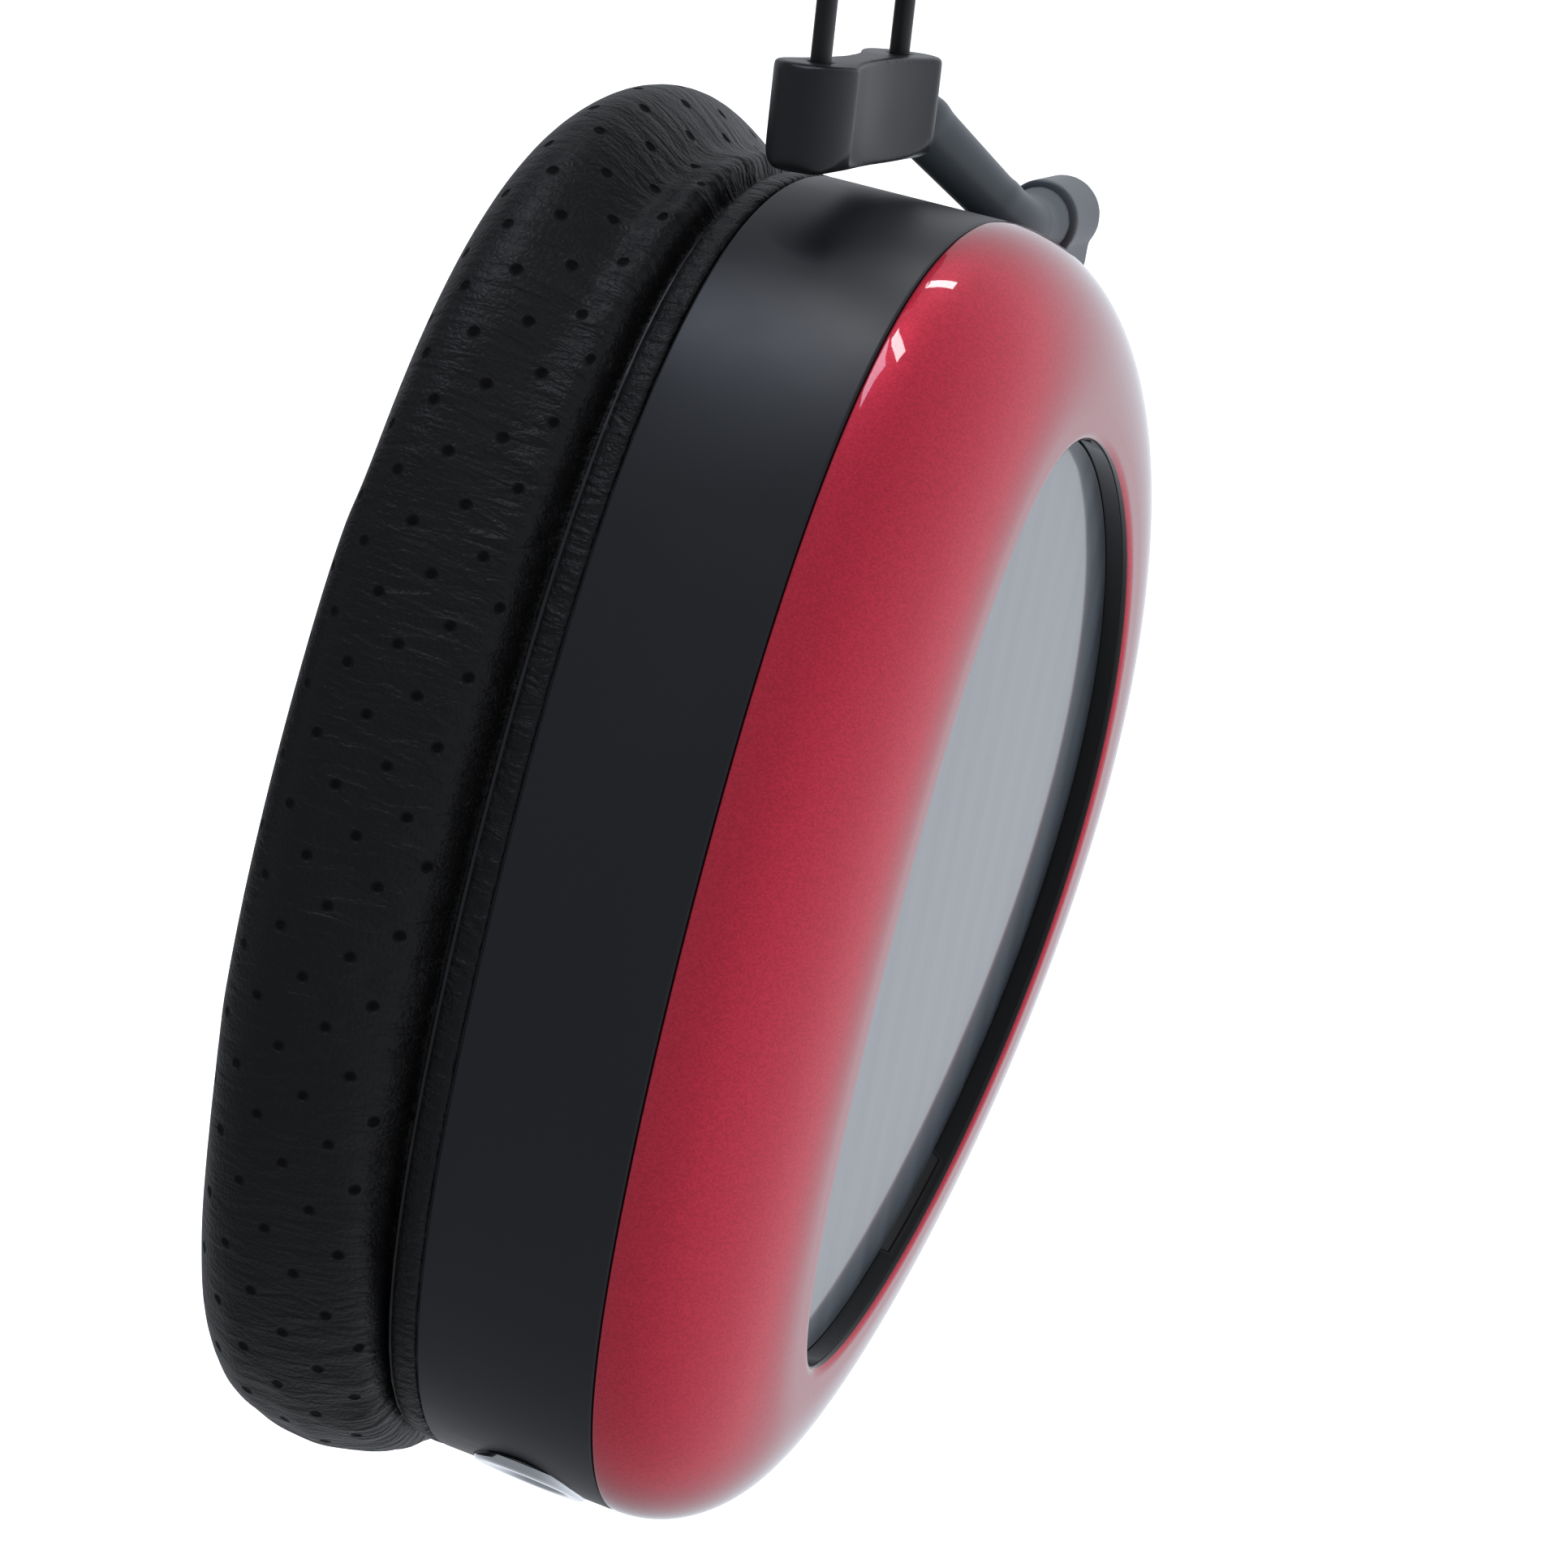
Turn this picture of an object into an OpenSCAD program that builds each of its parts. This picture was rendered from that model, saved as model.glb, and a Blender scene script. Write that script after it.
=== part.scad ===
// Over-ear headphones with teardrop cups, one-sided yoke arms and a two-wire headband.
// Millimetres. +X is the wearer's left, +Y is the back of the head, +Z is up.
// The origin is the middle of the strap's underside, where the head carries the headphones.
// Each cup is drawn in its own axes: x outwards from the pad's seat, y back, z up along the cup.

/* [Headband wires] */
// Diameter of each spring wire
wire_d = 1.75; // [1.6:0.05:2]
// Front-to-back distance between the two wires
wire_gap = 17.4; // [16.4:0.2:18.4]
// Distance from the centre plane out to the straight ends of the wires
band_half = 93.4; // [91:0.2:96]
// Radius of the shoulder bends
shoulder_r = 50; // [44:1:56]
// Radius of the crown
crown_r = 200; // [180:5:240]
// Height where the straight ends turn into the shoulder bends
straight_top = -20; // [-22:0.5:-18]

/* [Strap] */
// Radius of the strap's underside, seen from the front
strap_r = 112; // [110:0.5:114]
// Thickness of the strap
strap_t = 3.2; // [2.6:0.2:4]
// Width of the strap over the head
strap_w = 38; // [32:1:42]
// Width of the strap where it enters its sliders
strap_end_w = 20; // [16:1:21]
// Height of a slider
slider_h = 16; // [14:1:18]
// Height of a slider's lower face
slider_low = -53.5; // [-54:0.5:-52]

/* [End blocks and yokes] */
// Height of a block's top face
block_top = -60.85; // [-61.5:0.05:-60.5]
// Front-to-back length of a block
block_l = 24.9; // [24.6:0.1:25.4]
// Width of a block across its lobes
block_w = 7.5; // [7.3:0.1:7.7]
// Height of a block
block_h = 8.86; // [8.6:0.02:9.4]
// Diameter of the yoke arm
arm_d = 4.9; // [4.4:0.1:5.2]
// Angle between the arm's straight stretch and its end
arm_angle = 62; // [60:1:64]
// Radius of the arm's bend
arm_bend_r = 4.5; // [4:0.1:4.8]
// Diameter of the tilt barrel
barrel_d = 7.1; // [7:0.1:7.4]
// Length of the tilt barrel
barrel_l = 6.6; // [6.5:0.1:7.2]

/* [Cup] */
// Half of the cup's width, before its back bows out
half_w = 41.6; // [40:0.2:43]
// Half of the cup's height
half_h = 56; // [55:0.2:57]
// How far the tip leans forward, as a share of the half height
tip_lean = 0.167; // [0.14:0.01:0.2]
// How far the middle bows backward
bow = 12; // [10:0.5:13]
// Depth of the black frame
frame_depth = 16.55; // [16:0.05:17]
// Thickness of the frame's wall
frame_wall = 2.5; // [2.2:0.1:2.8]
// Height of the red cover over the frame
cover_rise = 12; // [11:0.2:13]
// Width of the cover's rounded shoulder
shoulder_w = 14; // [12:0.5:15]
// Distance from the cup's edge to the inlay
inlay_inset = 16.2; // [15.6:0.2:17]
// Depth of the inlay's face below the cover's crest
inlay_sink = 2.3; // [2:0.1:2.6]
// Height of the ear pad from the cup to its outer face
pad_h = 22; // [20:0.5:24]
// Width of the ear pad's ring at its seat
pad_w = 19.2; // [18:0.2:20]
// How far the pad bulges out past the cup's edge
pad_bulge = 5; // [3:0.2:6]
// Lean of the cup, top outwards, in degrees
cup_lean = 4.6; // [4:0.2:6]
// Diameter of the cable socket's bore
socket_bore_d = 7; // [6.6:0.1:7.2]
// Depth of the cable socket's bore
socket_depth = 5; // [4.5:0.1:5.5]

/* [Hidden] */
$fn = 48;

// Clearances: a running fit, a seated fit and a gap between moving faces
run_fit = 0.05;
seat_fit = 0.03;
face_gap = 0.1;

// Where the left cup's own axes stand
cup_x = 84;
cup_y = -6;
cup_z = -128;
outline_steps = 60;
offset_limit = 12;

// Headband
wire_r = wire_d / 2;
wire_seat = 3.6;
shoulder_x = band_half - shoulder_r;
crown_angle = asin(shoulder_x / (crown_r - shoulder_r));
crown_z = straight_top - (crown_r - shoulder_r) * cos(crown_angle);
block_low = block_top - block_h;
waist_r = 22;
waist_cut = 2;

grub_r = 0.95;
grub_z = block_top - 1.9;

// Strap sliders and their screws
slider_out = 3.7;
slider_in = 6.6;
slider_screw_y = 4;
slider_screw_z = slider_low + slider_h * 0.76;
slider_screw_r = 0.8;
slider_head_r = 1.7;
slider_head_h = 1.2;
slider_screw_l = 7.4;

// Swivel knuckle, under the rear wire
swivel_y = wire_gap / 2;
swivel_pin_r = 1.2;
knuckle_low = block_low + 1.4;
tongue_t = 2.6;
tongue_w = 3;
eye_r = 2.4;
tongue_z = knuckle_low + face_gap + tongue_t / 2;

// Tilt barrel, in the cup's axes
barrel_out = 13;
barrel_up = 53.8;
barrel_front = 34.1;
tilt_pin_r = 1.6;
pivot_thread_r = 1;

// Pivot bracket and its screws
bracket_w0 = 8;
bracket_w1 = 16;
bracket_screw_angle = 52;
bracket_screw_r = 0.8;
bracket_screw_l = 5.6;

// The yoke arm lies in the plane through the headband's Y direction and both of its ends
barrel_x = cup_x + barrel_out * cos(cup_lean) + barrel_up * sin(cup_lean);
barrel_z = cup_z - barrel_out * sin(cup_lean) + barrel_up * cos(cup_lean);
arm_z = tongue_z - 0.5;
arm_side = norm([barrel_x - band_half, barrel_z - arm_z]);
arm_turn = atan2(arm_z - barrel_z, barrel_x - band_half);
arm_straight = (arm_side - arm_bend_r * (1 - cos(arm_angle))) / sin(arm_angle);
arm_end_l = 3.1;
collar_r = 3.05;
arm_end_y = cup_y + barrel_front - face_gap;
arm_start_y = arm_end_y - arm_end_l - arm_straight * cos(arm_angle)
    - arm_bend_r * sin(arm_angle);

// Cup stack, as distances out from the pad's seat
baffle_t = 2.4;
ledge_t = 2;
ledge_in = 8;
gasket_t = 0.6;
carrier_w0 = baffle_t + gasket_t;
carrier_t = 6.4;
carrier_out = 13;
carrier_in = 19.5;
window_in = 20;
stator_t = 1;
magnet_t = 1.4;
magnet_w = 3;
magnet_pitch = 7;
magnet_mid_y = bow;
diaphragm_t = 0.1;
pad_ring_t = 2.8;
pad_ring_in = 19;
inlay_t = 0.8;
crest = frame_depth + cover_rise;
recess_floor = crest - inlay_sink - inlay_t;
cover_floor_t = 1.4;
cover_wall = 1.6;
spigot_d = 2;
spigot_out = frame_wall + 0.1;
spigot_in = 4.2;
baffle_screw_angles = [18, 78, 138, 198, 286, 334];
baffle_screw_in = 5.4;
driver_screw_angles = [45, 135, 225, 315];
driver_screw_in = 16.2;

// Cable socket: its place round the outline and along the frame's depth
socket_angle = 250;
socket_w = 8.8;
socket_ring_r = 5.2;
socket_ring_t = 0.9;
socket_barrel_r = 4.6;
socket_body_l = 8.2;
insulator_r = socket_bore_d / 2 + 0.2;
insulator_top = socket_ring_t - socket_depth;
contact_circle_r = 2;
contact_r = 0.55;
lead_r = 0.5;

// A point on the cup's outline at angle a, moved inwards by d along the outline's normal
function egg_offset(a, d) =
    let (
        dy = -half_w * sin(a) + tip_lean * half_h * cos(a) - 2 * bow * cos(a) * sin(a),
        dz = half_h * cos(a),
        l = norm([dy, dz]))
    [half_w * cos(a) + tip_lean * half_h * sin(a) + bow * cos(a) * cos(a) - d * dz / l,
        half_h * sin(a) + d * dy / l];

// The same point at any inset: past offset_limit the shape shrinks about its middle,
// because a deeper offset would fold over itself at the tighter curves
function egg(a, d = 0) =
    d <= offset_limit ? egg_offset(a, d) :
    let (p = egg_offset(a, offset_limit))
    [bow + (p[0] - bow) * (half_w - d) / (half_w - offset_limit),
        p[1] * (half_h - d) / (half_h - offset_limit)];

// Direction of the outward normal at angle a, in degrees from the cup's y axis
function egg_normal(a) =
    let (p = egg(a), q = egg(a, 1))
    atan2(p[1] - q[1], p[0] - q[0]);

function egg_points(d) = [for (i = [0:outline_steps - 1]) egg(360 * i / outline_steps, d)];

// A quarter of an ellipse from its foot to its crest, as [inset, out] pairs
function shoulder(foot, foot_w, width, rise, steps) =
    [for (i = [0:steps])
        let (a = 90 * i / steps)
        [foot + width * (1 - cos(a)), foot_w + rise * sin(a)]];

function reversed(list) = [for (i = [len(list) - 1:-1:0]) list[i]];

function signed_power(v, e) = sign(v) * pow(abs(v), e);

// Everything on the right is the left mirrored
module on_side(side) {
    if (side < 0)
        mirror([1, 0, 0]) children();
    else
        children();
}

module in_cup() {
    translate([cup_x, cup_y, cup_z])
        rotate([0, cup_lean, 0])
            children();
}

// A plate of the cup's outline, inset by d, between two distances out
module egg_plate(d, w0, w1) {
    translate([w0, 0, 0])
        rotate([90, 0, 90])
            linear_extrude(w1 - w0)
                polygon(egg_points(d));
}

module egg_ring(d_out, d_in, w0, w1) {
    translate([w0, 0, 0])
        rotate([90, 0, 90])
            linear_extrude(w1 - w0)
                difference() {
                    polygon(egg_points(d_out));
                    polygon(egg_points(d_in));
                }
}

// A skin swept round the outline: the profile is a list of [inset, out] pairs,
// either a closed loop or capped at both of its ends
module egg_loft(profile, loop = false) {
    n = outline_steps;
    m = len(profile);
    points = [for (p = profile, i = [0:n - 1])
        let (e = egg(360 * i / n, p[0]))
        [p[1], e[0], e[1]]];
    last = loop ? m - 1 : m - 2;
    sides = [for (j = [0:last], i = [0:n - 1])
        let (
            k = (j + 1) % m,
            i2 = (i + 1) % n)
        each [[j * n + i, k * n + i, k * n + i2], [j * n + i, k * n + i2, j * n + i2]]];
    caps = loop ? [] : [[for (i = [0:n - 1]) i], [for (i = [n - 1:-1:0]) (m - 1) * n + i]];
    polyhedron(points, concat(sides, caps), convexity = 6);
}

// A place on the cup's outline, with z pointing outwards along the normal
module at_outline(a, w, d = 0) {
    p = egg(a, d);
    translate([w, p[0], p[1]])
        rotate([egg_normal(a) - 90, 0, 0])
            children();
}

// A place on the cup's faces, with z pointing outwards from the head
module at_face(a, d, w) {
    p = egg(a, d);
    translate([w, p[0], p[1]])
        rotate([0, 90, 0])
            children();
}

// A plain machine screw along z, with its head's face at z = 0 and its shank below
module screw(head_r, head_h, shank_r, shank_l) {
    difference() {
        translate([0, 0, -head_h])
            cylinder(r = head_r, h = head_h);
        translate([0, 0, -head_h * 0.6])
            cylinder(r = head_r * 0.45, h = head_h, $fn = 6);
    }
    translate([0, 0, -head_h - shank_l])
        cylinder(r = shank_r, h = shank_l);
}

// A round bar bent along an arc in the X-Y plane about the origin, from angle a0 to a1.
// It stops short at both ends by the length given in gap.
module arc_bar(r, a0, a1, bar_r, gap) {
    trim = gap / r * 180 / PI;
    rotate([0, 0, a0 + trim])
        rotate_extrude(angle = a1 - a0 - 2 * trim, $fn = 96)
            translate([r, 0])
                circle(bar_r, $fn = 32);
}

// The wire's stretches join inside small balls, a hair wider than the wire
module wire(y) {
    low = block_top - wire_seat;
    joint_r = wire_r + 0.02;
    gap = 0.1;
    side_angle = 90 - crown_angle;
    color("#17181b")
        translate([0, y, 0]) {
            for (side = [-1, 1]) {
                translate([side * band_half, 0, low])
                    cylinder(r = wire_r, h = straight_top - low - gap, $fn = 32);
                translate([side * band_half, 0, straight_top])
                    sphere(joint_r, $fn = 32);
                translate([side * crown_r * cos(side_angle), 0, crown_z + crown_r * sin(side_angle)])
                    sphere(joint_r, $fn = 32);
            }
            translate([shoulder_x, 0, straight_top])
                rotate([90, 0, 0])
                    arc_bar(shoulder_r, 0, side_angle, wire_r, gap);
            translate([-shoulder_x, 0, straight_top])
                rotate([90, 0, 0])
                    arc_bar(shoulder_r, 180 - side_angle, 180, wire_r, gap);
            translate([0, 0, crown_z])
                rotate([90, 0, 0])
                    arc_bar(crown_r, side_angle, 180 - side_angle, wire_r, gap);
        }
}

// The band's own curve, with room added all round it where it sits in a slider
module strap_shape(room = 0) {
    end_x = band_half - 3.8;
    half_angle = asin(end_x / (strap_r + strap_t / 2));
    intersection() {
        translate([0, 0, -strap_r])
            rotate([90, 0, 0])
                rotate([0, 0, 90 - half_angle])
                    rotate_extrude(angle = 2 * half_angle, $fn = 128)
                        translate([strap_r - room, -strap_w / 2])
                            square([strap_t + 2 * room, strap_w]);
        translate([0, 0, -strap_r])
            linear_extrude(2 * strap_r)
                polygon([
                    [-band_half, -strap_end_w / 2 - room], [-band_half * 0.8, -strap_end_w / 2 - room],
                    [-band_half * 0.42, -strap_w / 2], [band_half * 0.42, -strap_w / 2],
                    [band_half * 0.8, -strap_end_w / 2 - room], [band_half, -strap_end_w / 2 - room],
                    [band_half, strap_end_w / 2 + room], [band_half * 0.8, strap_end_w / 2 + room],
                    [band_half * 0.42, strap_w / 2], [-band_half * 0.42, strap_w / 2],
                    [-band_half * 0.8, strap_end_w / 2 + room], [-band_half, strap_end_w / 2 + room]]);
    }
}

module slider_screw_places() {
    for (y = [-slider_screw_y, slider_screw_y])
        translate([band_half + slider_out, y, slider_screw_z])
            rotate([0, 90, 0])
                children();
}

module headband_strap() {
    color("#1c1c1f")
        difference() {
            strap_shape();
            for (side = [1, -1])
                on_side(side)
                    slider_screw_places()
                        translate([0, 0, -20])
                            cylinder(r = slider_screw_r + 0.1, h = 20);
        }
}

module strap_slider() {
    color("#1a1b1e")
        difference() {
            intersection() {
                translate([band_half, 0, slider_low])
                    linear_extrude(slider_h)
                        slider_plan();
                translate([band_half, 0, slider_low])
                    slider_side();
            }
            for (y = [-wire_gap / 2, wire_gap / 2])
                translate([band_half, y, slider_low - 1])
                    cylinder(r = wire_r + run_fit, h = slider_h + 2);
            strap_shape(0.1);
            slider_screw_places() {
                translate([0, 0, -slider_head_h - 0.1])
                    cylinder(r = slider_head_r + 0.1, h = 3);
                translate([0, 0, -slider_screw_l - slider_head_h - 0.4])
                    cylinder(r = slider_screw_r + seat_fit, h = 20);
            }
        }
}

// Plan of a slider: straight inner face, rounded ends, a waist on its outer face
module slider_plan() {
    difference() {
        intersection() {
            translate([-slider_in, -block_l / 2])
                square([slider_in + slider_out, block_l]);
            union() {
                for (y = [-1, 1])
                    translate([-0.9, y * (block_l / 2 - 6.2)])
                        circle(6.2);
                translate([-slider_in, -block_l / 2 + 6.2])
                    square([slider_in + slider_out, block_l - 12.4]);
            }
        }
        translate([slider_out - waist_cut + waist_r, 0])
            circle(waist_r, $fn = 96);
    }
}

// Front view of a slider, with rounded corners
module slider_side() {
    corner = 2.2;
    translate([0, block_l / 2, 0])
        rotate([90, 0, 0])
            linear_extrude(block_l)
                union() {
                    translate([-slider_in, corner])
                        square([slider_in + slider_out, slider_h - 2 * corner]);
                    translate([-slider_in + corner, 0])
                        square([slider_in + slider_out - 2 * corner, slider_h]);
                    for (x = [-slider_in + corner, slider_out - corner], z = [corner, slider_h - corner])
                        translate([x, z])
                            circle(corner);
                }
}

module slider_screws() {
    color("#8d9096")
        slider_screw_places()
            translate([0, 0, -0.1])
                screw(slider_head_r, slider_head_h, slider_screw_r, slider_screw_l);
}

// Plan of an end block: a round lobe about each wire, and a waist between them
module block_plan() {
    lobe_y = (block_l - block_w) / 2;
    difference() {
        union() {
            for (y = [-lobe_y, lobe_y])
                translate([0, y])
                    circle(block_w / 2);
            translate([-block_w / 2, -lobe_y])
                square([block_w, 2 * lobe_y]);
        }
        for (x = [-1, 1])
            translate([x * (block_w / 2 - waist_cut + waist_r), 0])
                circle(waist_r, $fn = 96);
    }
}

// A view of an end block with large lower corners and small upper ones
module block_profile(width, low_r, top_r) {
    translate([-width / 2, low_r])
        square([width, block_h - low_r - top_r]);
    translate([-width / 2 + low_r, 0])
        square([width - 2 * low_r, low_r * 2]);
    translate([-width / 2 + top_r, block_h - 2 * top_r])
        square([width - 2 * top_r, 2 * top_r]);
    for (x = [-1, 1]) {
        translate([x * (width / 2 - low_r), low_r])
            circle(low_r);
        translate([x * (width / 2 - top_r), block_h - top_r])
            circle(top_r);
    }
}

module end_block() {
    pocket_h = tongue_t + 2 * face_gap;
    color("#1a1b1e")
        translate([band_half, 0, 0])
            difference() {
                intersection() {
                    translate([0, 0, block_low])
                        linear_extrude(block_h)
                            block_plan();
                    translate([0, block_l / 2, block_low])
                        rotate([90, 0, 0])
                            linear_extrude(block_l)
                                block_profile(block_w, 2.7, 0.5);
                    translate([-block_w / 2, 0, block_low])
                        rotate([90, 0, 90])
                            linear_extrude(block_w)
                                block_profile(block_l, 1.6, 0.5);
                }
                for (y = [-wire_gap / 2, wire_gap / 2]) {
                    translate([0, y, block_top - wire_seat])
                        cylinder(r = wire_r + seat_fit, h = wire_seat + 1);
                    translate([-block_w / 2 - 1, y, grub_z])
                        rotate([0, 90, 0])
                            cylinder(r = grub_r + seat_fit, h = block_w / 2 + 1);
                }
                translate([0, swivel_y, block_low - 1])
                    cylinder(r = swivel_pin_r + seat_fit, h = 1 + 4.8);
                translate([0, swivel_y, knuckle_low])
                    linear_extrude(pocket_h)
                        union() {
                            circle(eye_r + 0.25);
                            polygon([[-2.6, 0], [2.6, 0], [2.95, 6], [-2.95, 6]]);
                        }
            }
}

module grub_screws() {
    length = block_w / 2 - wire_r - 0.35;
    color("#6e7177")
        for (y = [-wire_gap / 2, wire_gap / 2])
            translate([band_half - wire_r - 0.03 - length, y, grub_z])
                rotate([0, 90, 0])
                    difference() {
                        cylinder(r = grub_r, h = length);
                        translate([0, 0, -1])
                            cylinder(r = 0.5, h = 2, $fn = 6);
                    }
}

module swivel_pin() {
    color("#6e7177")
        translate([band_half, swivel_y, block_low + 0.1])
            cylinder(r = swivel_pin_r, h = 4.6);
}

// The arm's stretches join inside balls a little wider than the bar
module yoke_arm() {
    arm_r = arm_d / 2;
    root_r = 2.9;
    joint_r = arm_r + 0.12;
    gap = 0.3;
    color("#1e2023") {
        difference() {
            union() {
                translate([band_half, swivel_y, tongue_z - tongue_t / 2])
                    cylinder(r = eye_r, h = tongue_t);
                translate([band_half - tongue_w / 2, swivel_y, tongue_z - tongue_t / 2])
                    cube([tongue_w, arm_start_y - swivel_y, tongue_t]);
            }
            translate([band_half, swivel_y, tongue_z - tongue_t])
                cylinder(r = swivel_pin_r + run_fit, h = 2 * tongue_t);
        }
        translate([band_half, 0, arm_z])
            rotate([0, arm_turn, 0]) {
                translate([0, arm_start_y, 0]) {
                    rotate([90, 0, 0])
                        sphere(root_r);
                    rotate([-90, 0, 0])
                        rotate([0, arm_angle, 0]) {
                            cylinder(r1 = root_r - 0.15, r2 = arm_r, h = arm_straight - gap);
                            translate([0, 0, arm_straight])
                                sphere(joint_r);
                        }
                }
                translate([arm_side - arm_bend_r, arm_end_y - arm_end_l, 0])
                    arc_bar(arm_bend_r, -arm_angle, 0, arm_r, gap);
                translate([arm_side, arm_end_y - arm_end_l, 0])
                    sphere(joint_r);
            }
        translate([barrel_x, arm_end_y, barrel_z])
            rotate([90, 0, 0])
                difference() {
                    union() {
                        cylinder(r1 = collar_r, r2 = arm_r, h = arm_end_l - gap);
                        translate([0, 0, -barrel_l - face_gap])
                            cylinder(r = tilt_pin_r, h = barrel_l + 2 * face_gap);
                    }
                    translate([0, 0, -barrel_l - 1])
                        cylinder(r = pivot_thread_r + seat_fit, h = 6);
                }
    }
}

module pivot_screw() {
    head_h = 1.5;
    color("#1e2023")
        translate([barrel_x, arm_end_y + face_gap * 2 + barrel_l + head_h, barrel_z])
            rotate([-90, 0, 0])
                screw(3, head_h, pivot_thread_r, 4.5);
}

module bracket_screw_places(d) {
    for (w = [bracket_w0 + 1.4, bracket_w0 + 4.8])
        at_outline(bracket_screw_angle, w, d)
            children();
}

module pivot_bracket() {
    color("#1e2023")
        in_cup()
            difference() {
                union() {
                    translate([bracket_w0, barrel_front, 36])
                        cube([bracket_w1 - bracket_w0, barrel_l, barrel_up - 36]);
                    translate([barrel_out, barrel_front, barrel_up])
                        rotate([-90, 0, 0])
                            cylinder(d = barrel_d, h = barrel_l);
                }
                egg_plate(0, bracket_w0 - 1, bracket_w1 + 1);
                translate([barrel_out, barrel_front - 1, barrel_up])
                    rotate([-90, 0, 0])
                        cylinder(r = tilt_pin_r + run_fit, h = barrel_l + 2);
                bracket_screw_places(0)
                    translate([0, 0, -1])
                        cylinder(r = bracket_screw_r + seat_fit, h = 4.2);
            }
}

module bracket_screws() {
    color("#8d9096")
        in_cup()
            bracket_screw_places(frame_wall + 1.15)
                rotate([180, 0, 0])
                    screw(1.5, 1, bracket_screw_r, bracket_screw_l);
}

module cup_frame() {
    boss_r = socket_barrel_r + 1.6;
    color("#202226")
        in_cup()
            difference() {
                union() {
                    egg_ring(0, frame_wall, 0, frame_depth);
                    egg_ring(frame_wall - 0.5, ledge_in, baffle_t, baffle_t + ledge_t);
                    intersection() {
                        egg_plate(0.6, baffle_t, frame_depth - spigot_d - 0.1);
                        at_outline(socket_angle, socket_w, ledge_in)
                            cylinder(r = boss_r, h = ledge_in + 2);
                    }
                }
                at_outline(socket_angle, socket_w, ledge_in + 3)
                    cylinder(r = socket_barrel_r + seat_fit, h = ledge_in + 8);
                at_outline(socket_angle, socket_w, 0.6)
                    cylinder(r = socket_ring_r + seat_fit, h = 4);
                for (a = baffle_screw_angles)
                    at_face(a, baffle_screw_in, baffle_t - 1)
                        cylinder(r = 0.95, h = ledge_t + 2);
                bracket_screw_places(frame_wall + 2)
                    cylinder(r = bracket_screw_r + 0.1, h = 6);
                bracket_screw_places(frame_wall + 2)
                    cylinder(r = 1.7, h = 1.9);
            }
}

module baffle() {
    color("#27292d")
        in_cup()
            difference() {
                egg_ring(frame_wall + 0.1, window_in, 0, baffle_t);
                for (a = baffle_screw_angles)
                    at_face(a, baffle_screw_in, -1) {
                        cylinder(r = 1.1, h = baffle_t + 2);
                        cylinder(r = 2.1, h = 2.4);
                    }
                for (a = driver_screw_angles)
                    at_face(a, driver_screw_in, 1)
                        cylinder(r = 0.95, h = 3);
            }
}

module baffle_screws() {
    color("#8d9096")
        in_cup()
            for (a = baffle_screw_angles)
                at_face(a, baffle_screw_in, 0.1)
                    rotate([180, 0, 0])
                        screw(1.9, 1.3, 0.9, 2.9);
}

module pad_ring() {
    color("#1b1b1d")
        in_cup()
            egg_ring(0.3, pad_ring_in, -pad_ring_t, 0);
}

// The cushion's section is a rounded square that bulges outwards at the middle of its
// height, swept round the outline
module ear_pad() {
    section_steps = 16;
    squareness = 0.62;
    half = (pad_h - pad_ring_t) / 2;
    middle = 0.6 + pad_w / 2;
    color("#1c1c1e")
        in_cup()
            egg_loft([for (i = [0:section_steps - 1])
                let (
                    a = 360 * i / section_steps,
                    across = signed_power(cos(a), squareness),
                    up = signed_power(sin(a), squareness),
                    belly = pad_bulge * (1 - up * up) * (1 + cos(a)) / 2)
                [middle - pad_w / 2 * across - belly, -pad_ring_t - half + half * up]], true);
}

module dust_cloth() {
    color("#2b2b2d")
        in_cup()
            egg_plate(pad_ring_in + 0.1, -0.4, 0);
}

module outer_cover() {
    inner_crest = crest - 1.95;
    color("#a5172f")
        in_cup()
            egg_loft(concat(
                [[inlay_inset - cover_wall, recess_floor - cover_floor_t]],
                reversed(shoulder(spigot_in, frame_depth, inlay_inset - cover_wall - spigot_in,
                    inner_crest - frame_depth, 4)),
                [[spigot_in, frame_depth - spigot_d], [spigot_out, frame_depth - spigot_d],
                    [spigot_out, frame_depth]],
                shoulder(0, frame_depth, shoulder_w, cover_rise, 8),
                [[inlay_inset - 0.9, crest - 0.1], [inlay_inset - 0.3, crest - 0.4],
                    [inlay_inset, crest - 0.9], [inlay_inset, recess_floor]]));
}

module inlay_panel() {
    color("#8e979e")
        in_cup()
            egg_plate(inlay_inset + 0.05, recess_floor, recess_floor + inlay_t);
}

module driver_screw_bores(w, l) {
    for (a = driver_screw_angles)
        at_face(a, driver_screw_in, w)
            cylinder(r = 1.1, h = l);
}

module driver_carrier() {
    color("#3a3d42")
        in_cup()
            difference() {
                egg_ring(carrier_out, carrier_in, carrier_w0, carrier_w0 + carrier_t);
                driver_screw_bores(carrier_w0 - 1, carrier_t + 2);
            }
}

module driver_gasket() {
    color("#2a2a2a")
        in_cup()
            difference() {
                egg_ring(carrier_out, carrier_in, baffle_t, carrier_w0);
                driver_screw_bores(baffle_t - 1, 3);
            }
}

module driver_screws() {
    color("#8d9096")
        in_cup()
            for (a = driver_screw_angles)
                at_face(a, driver_screw_in, carrier_w0 + carrier_t + 1.2)
                    screw(1.8, 1.2, 0.9, carrier_t + gasket_t + 1.2);
}

module magnet_rows(w0, w1, width, offsets, inset) {
    intersection() {
        egg_plate(inset, w0, w1);
        for (i = offsets)
            translate([w0, magnet_mid_y + i * magnet_pitch - width / 2, -half_h])
                cube([w1 - w0, width, 2 * half_h]);
    }
}

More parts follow.
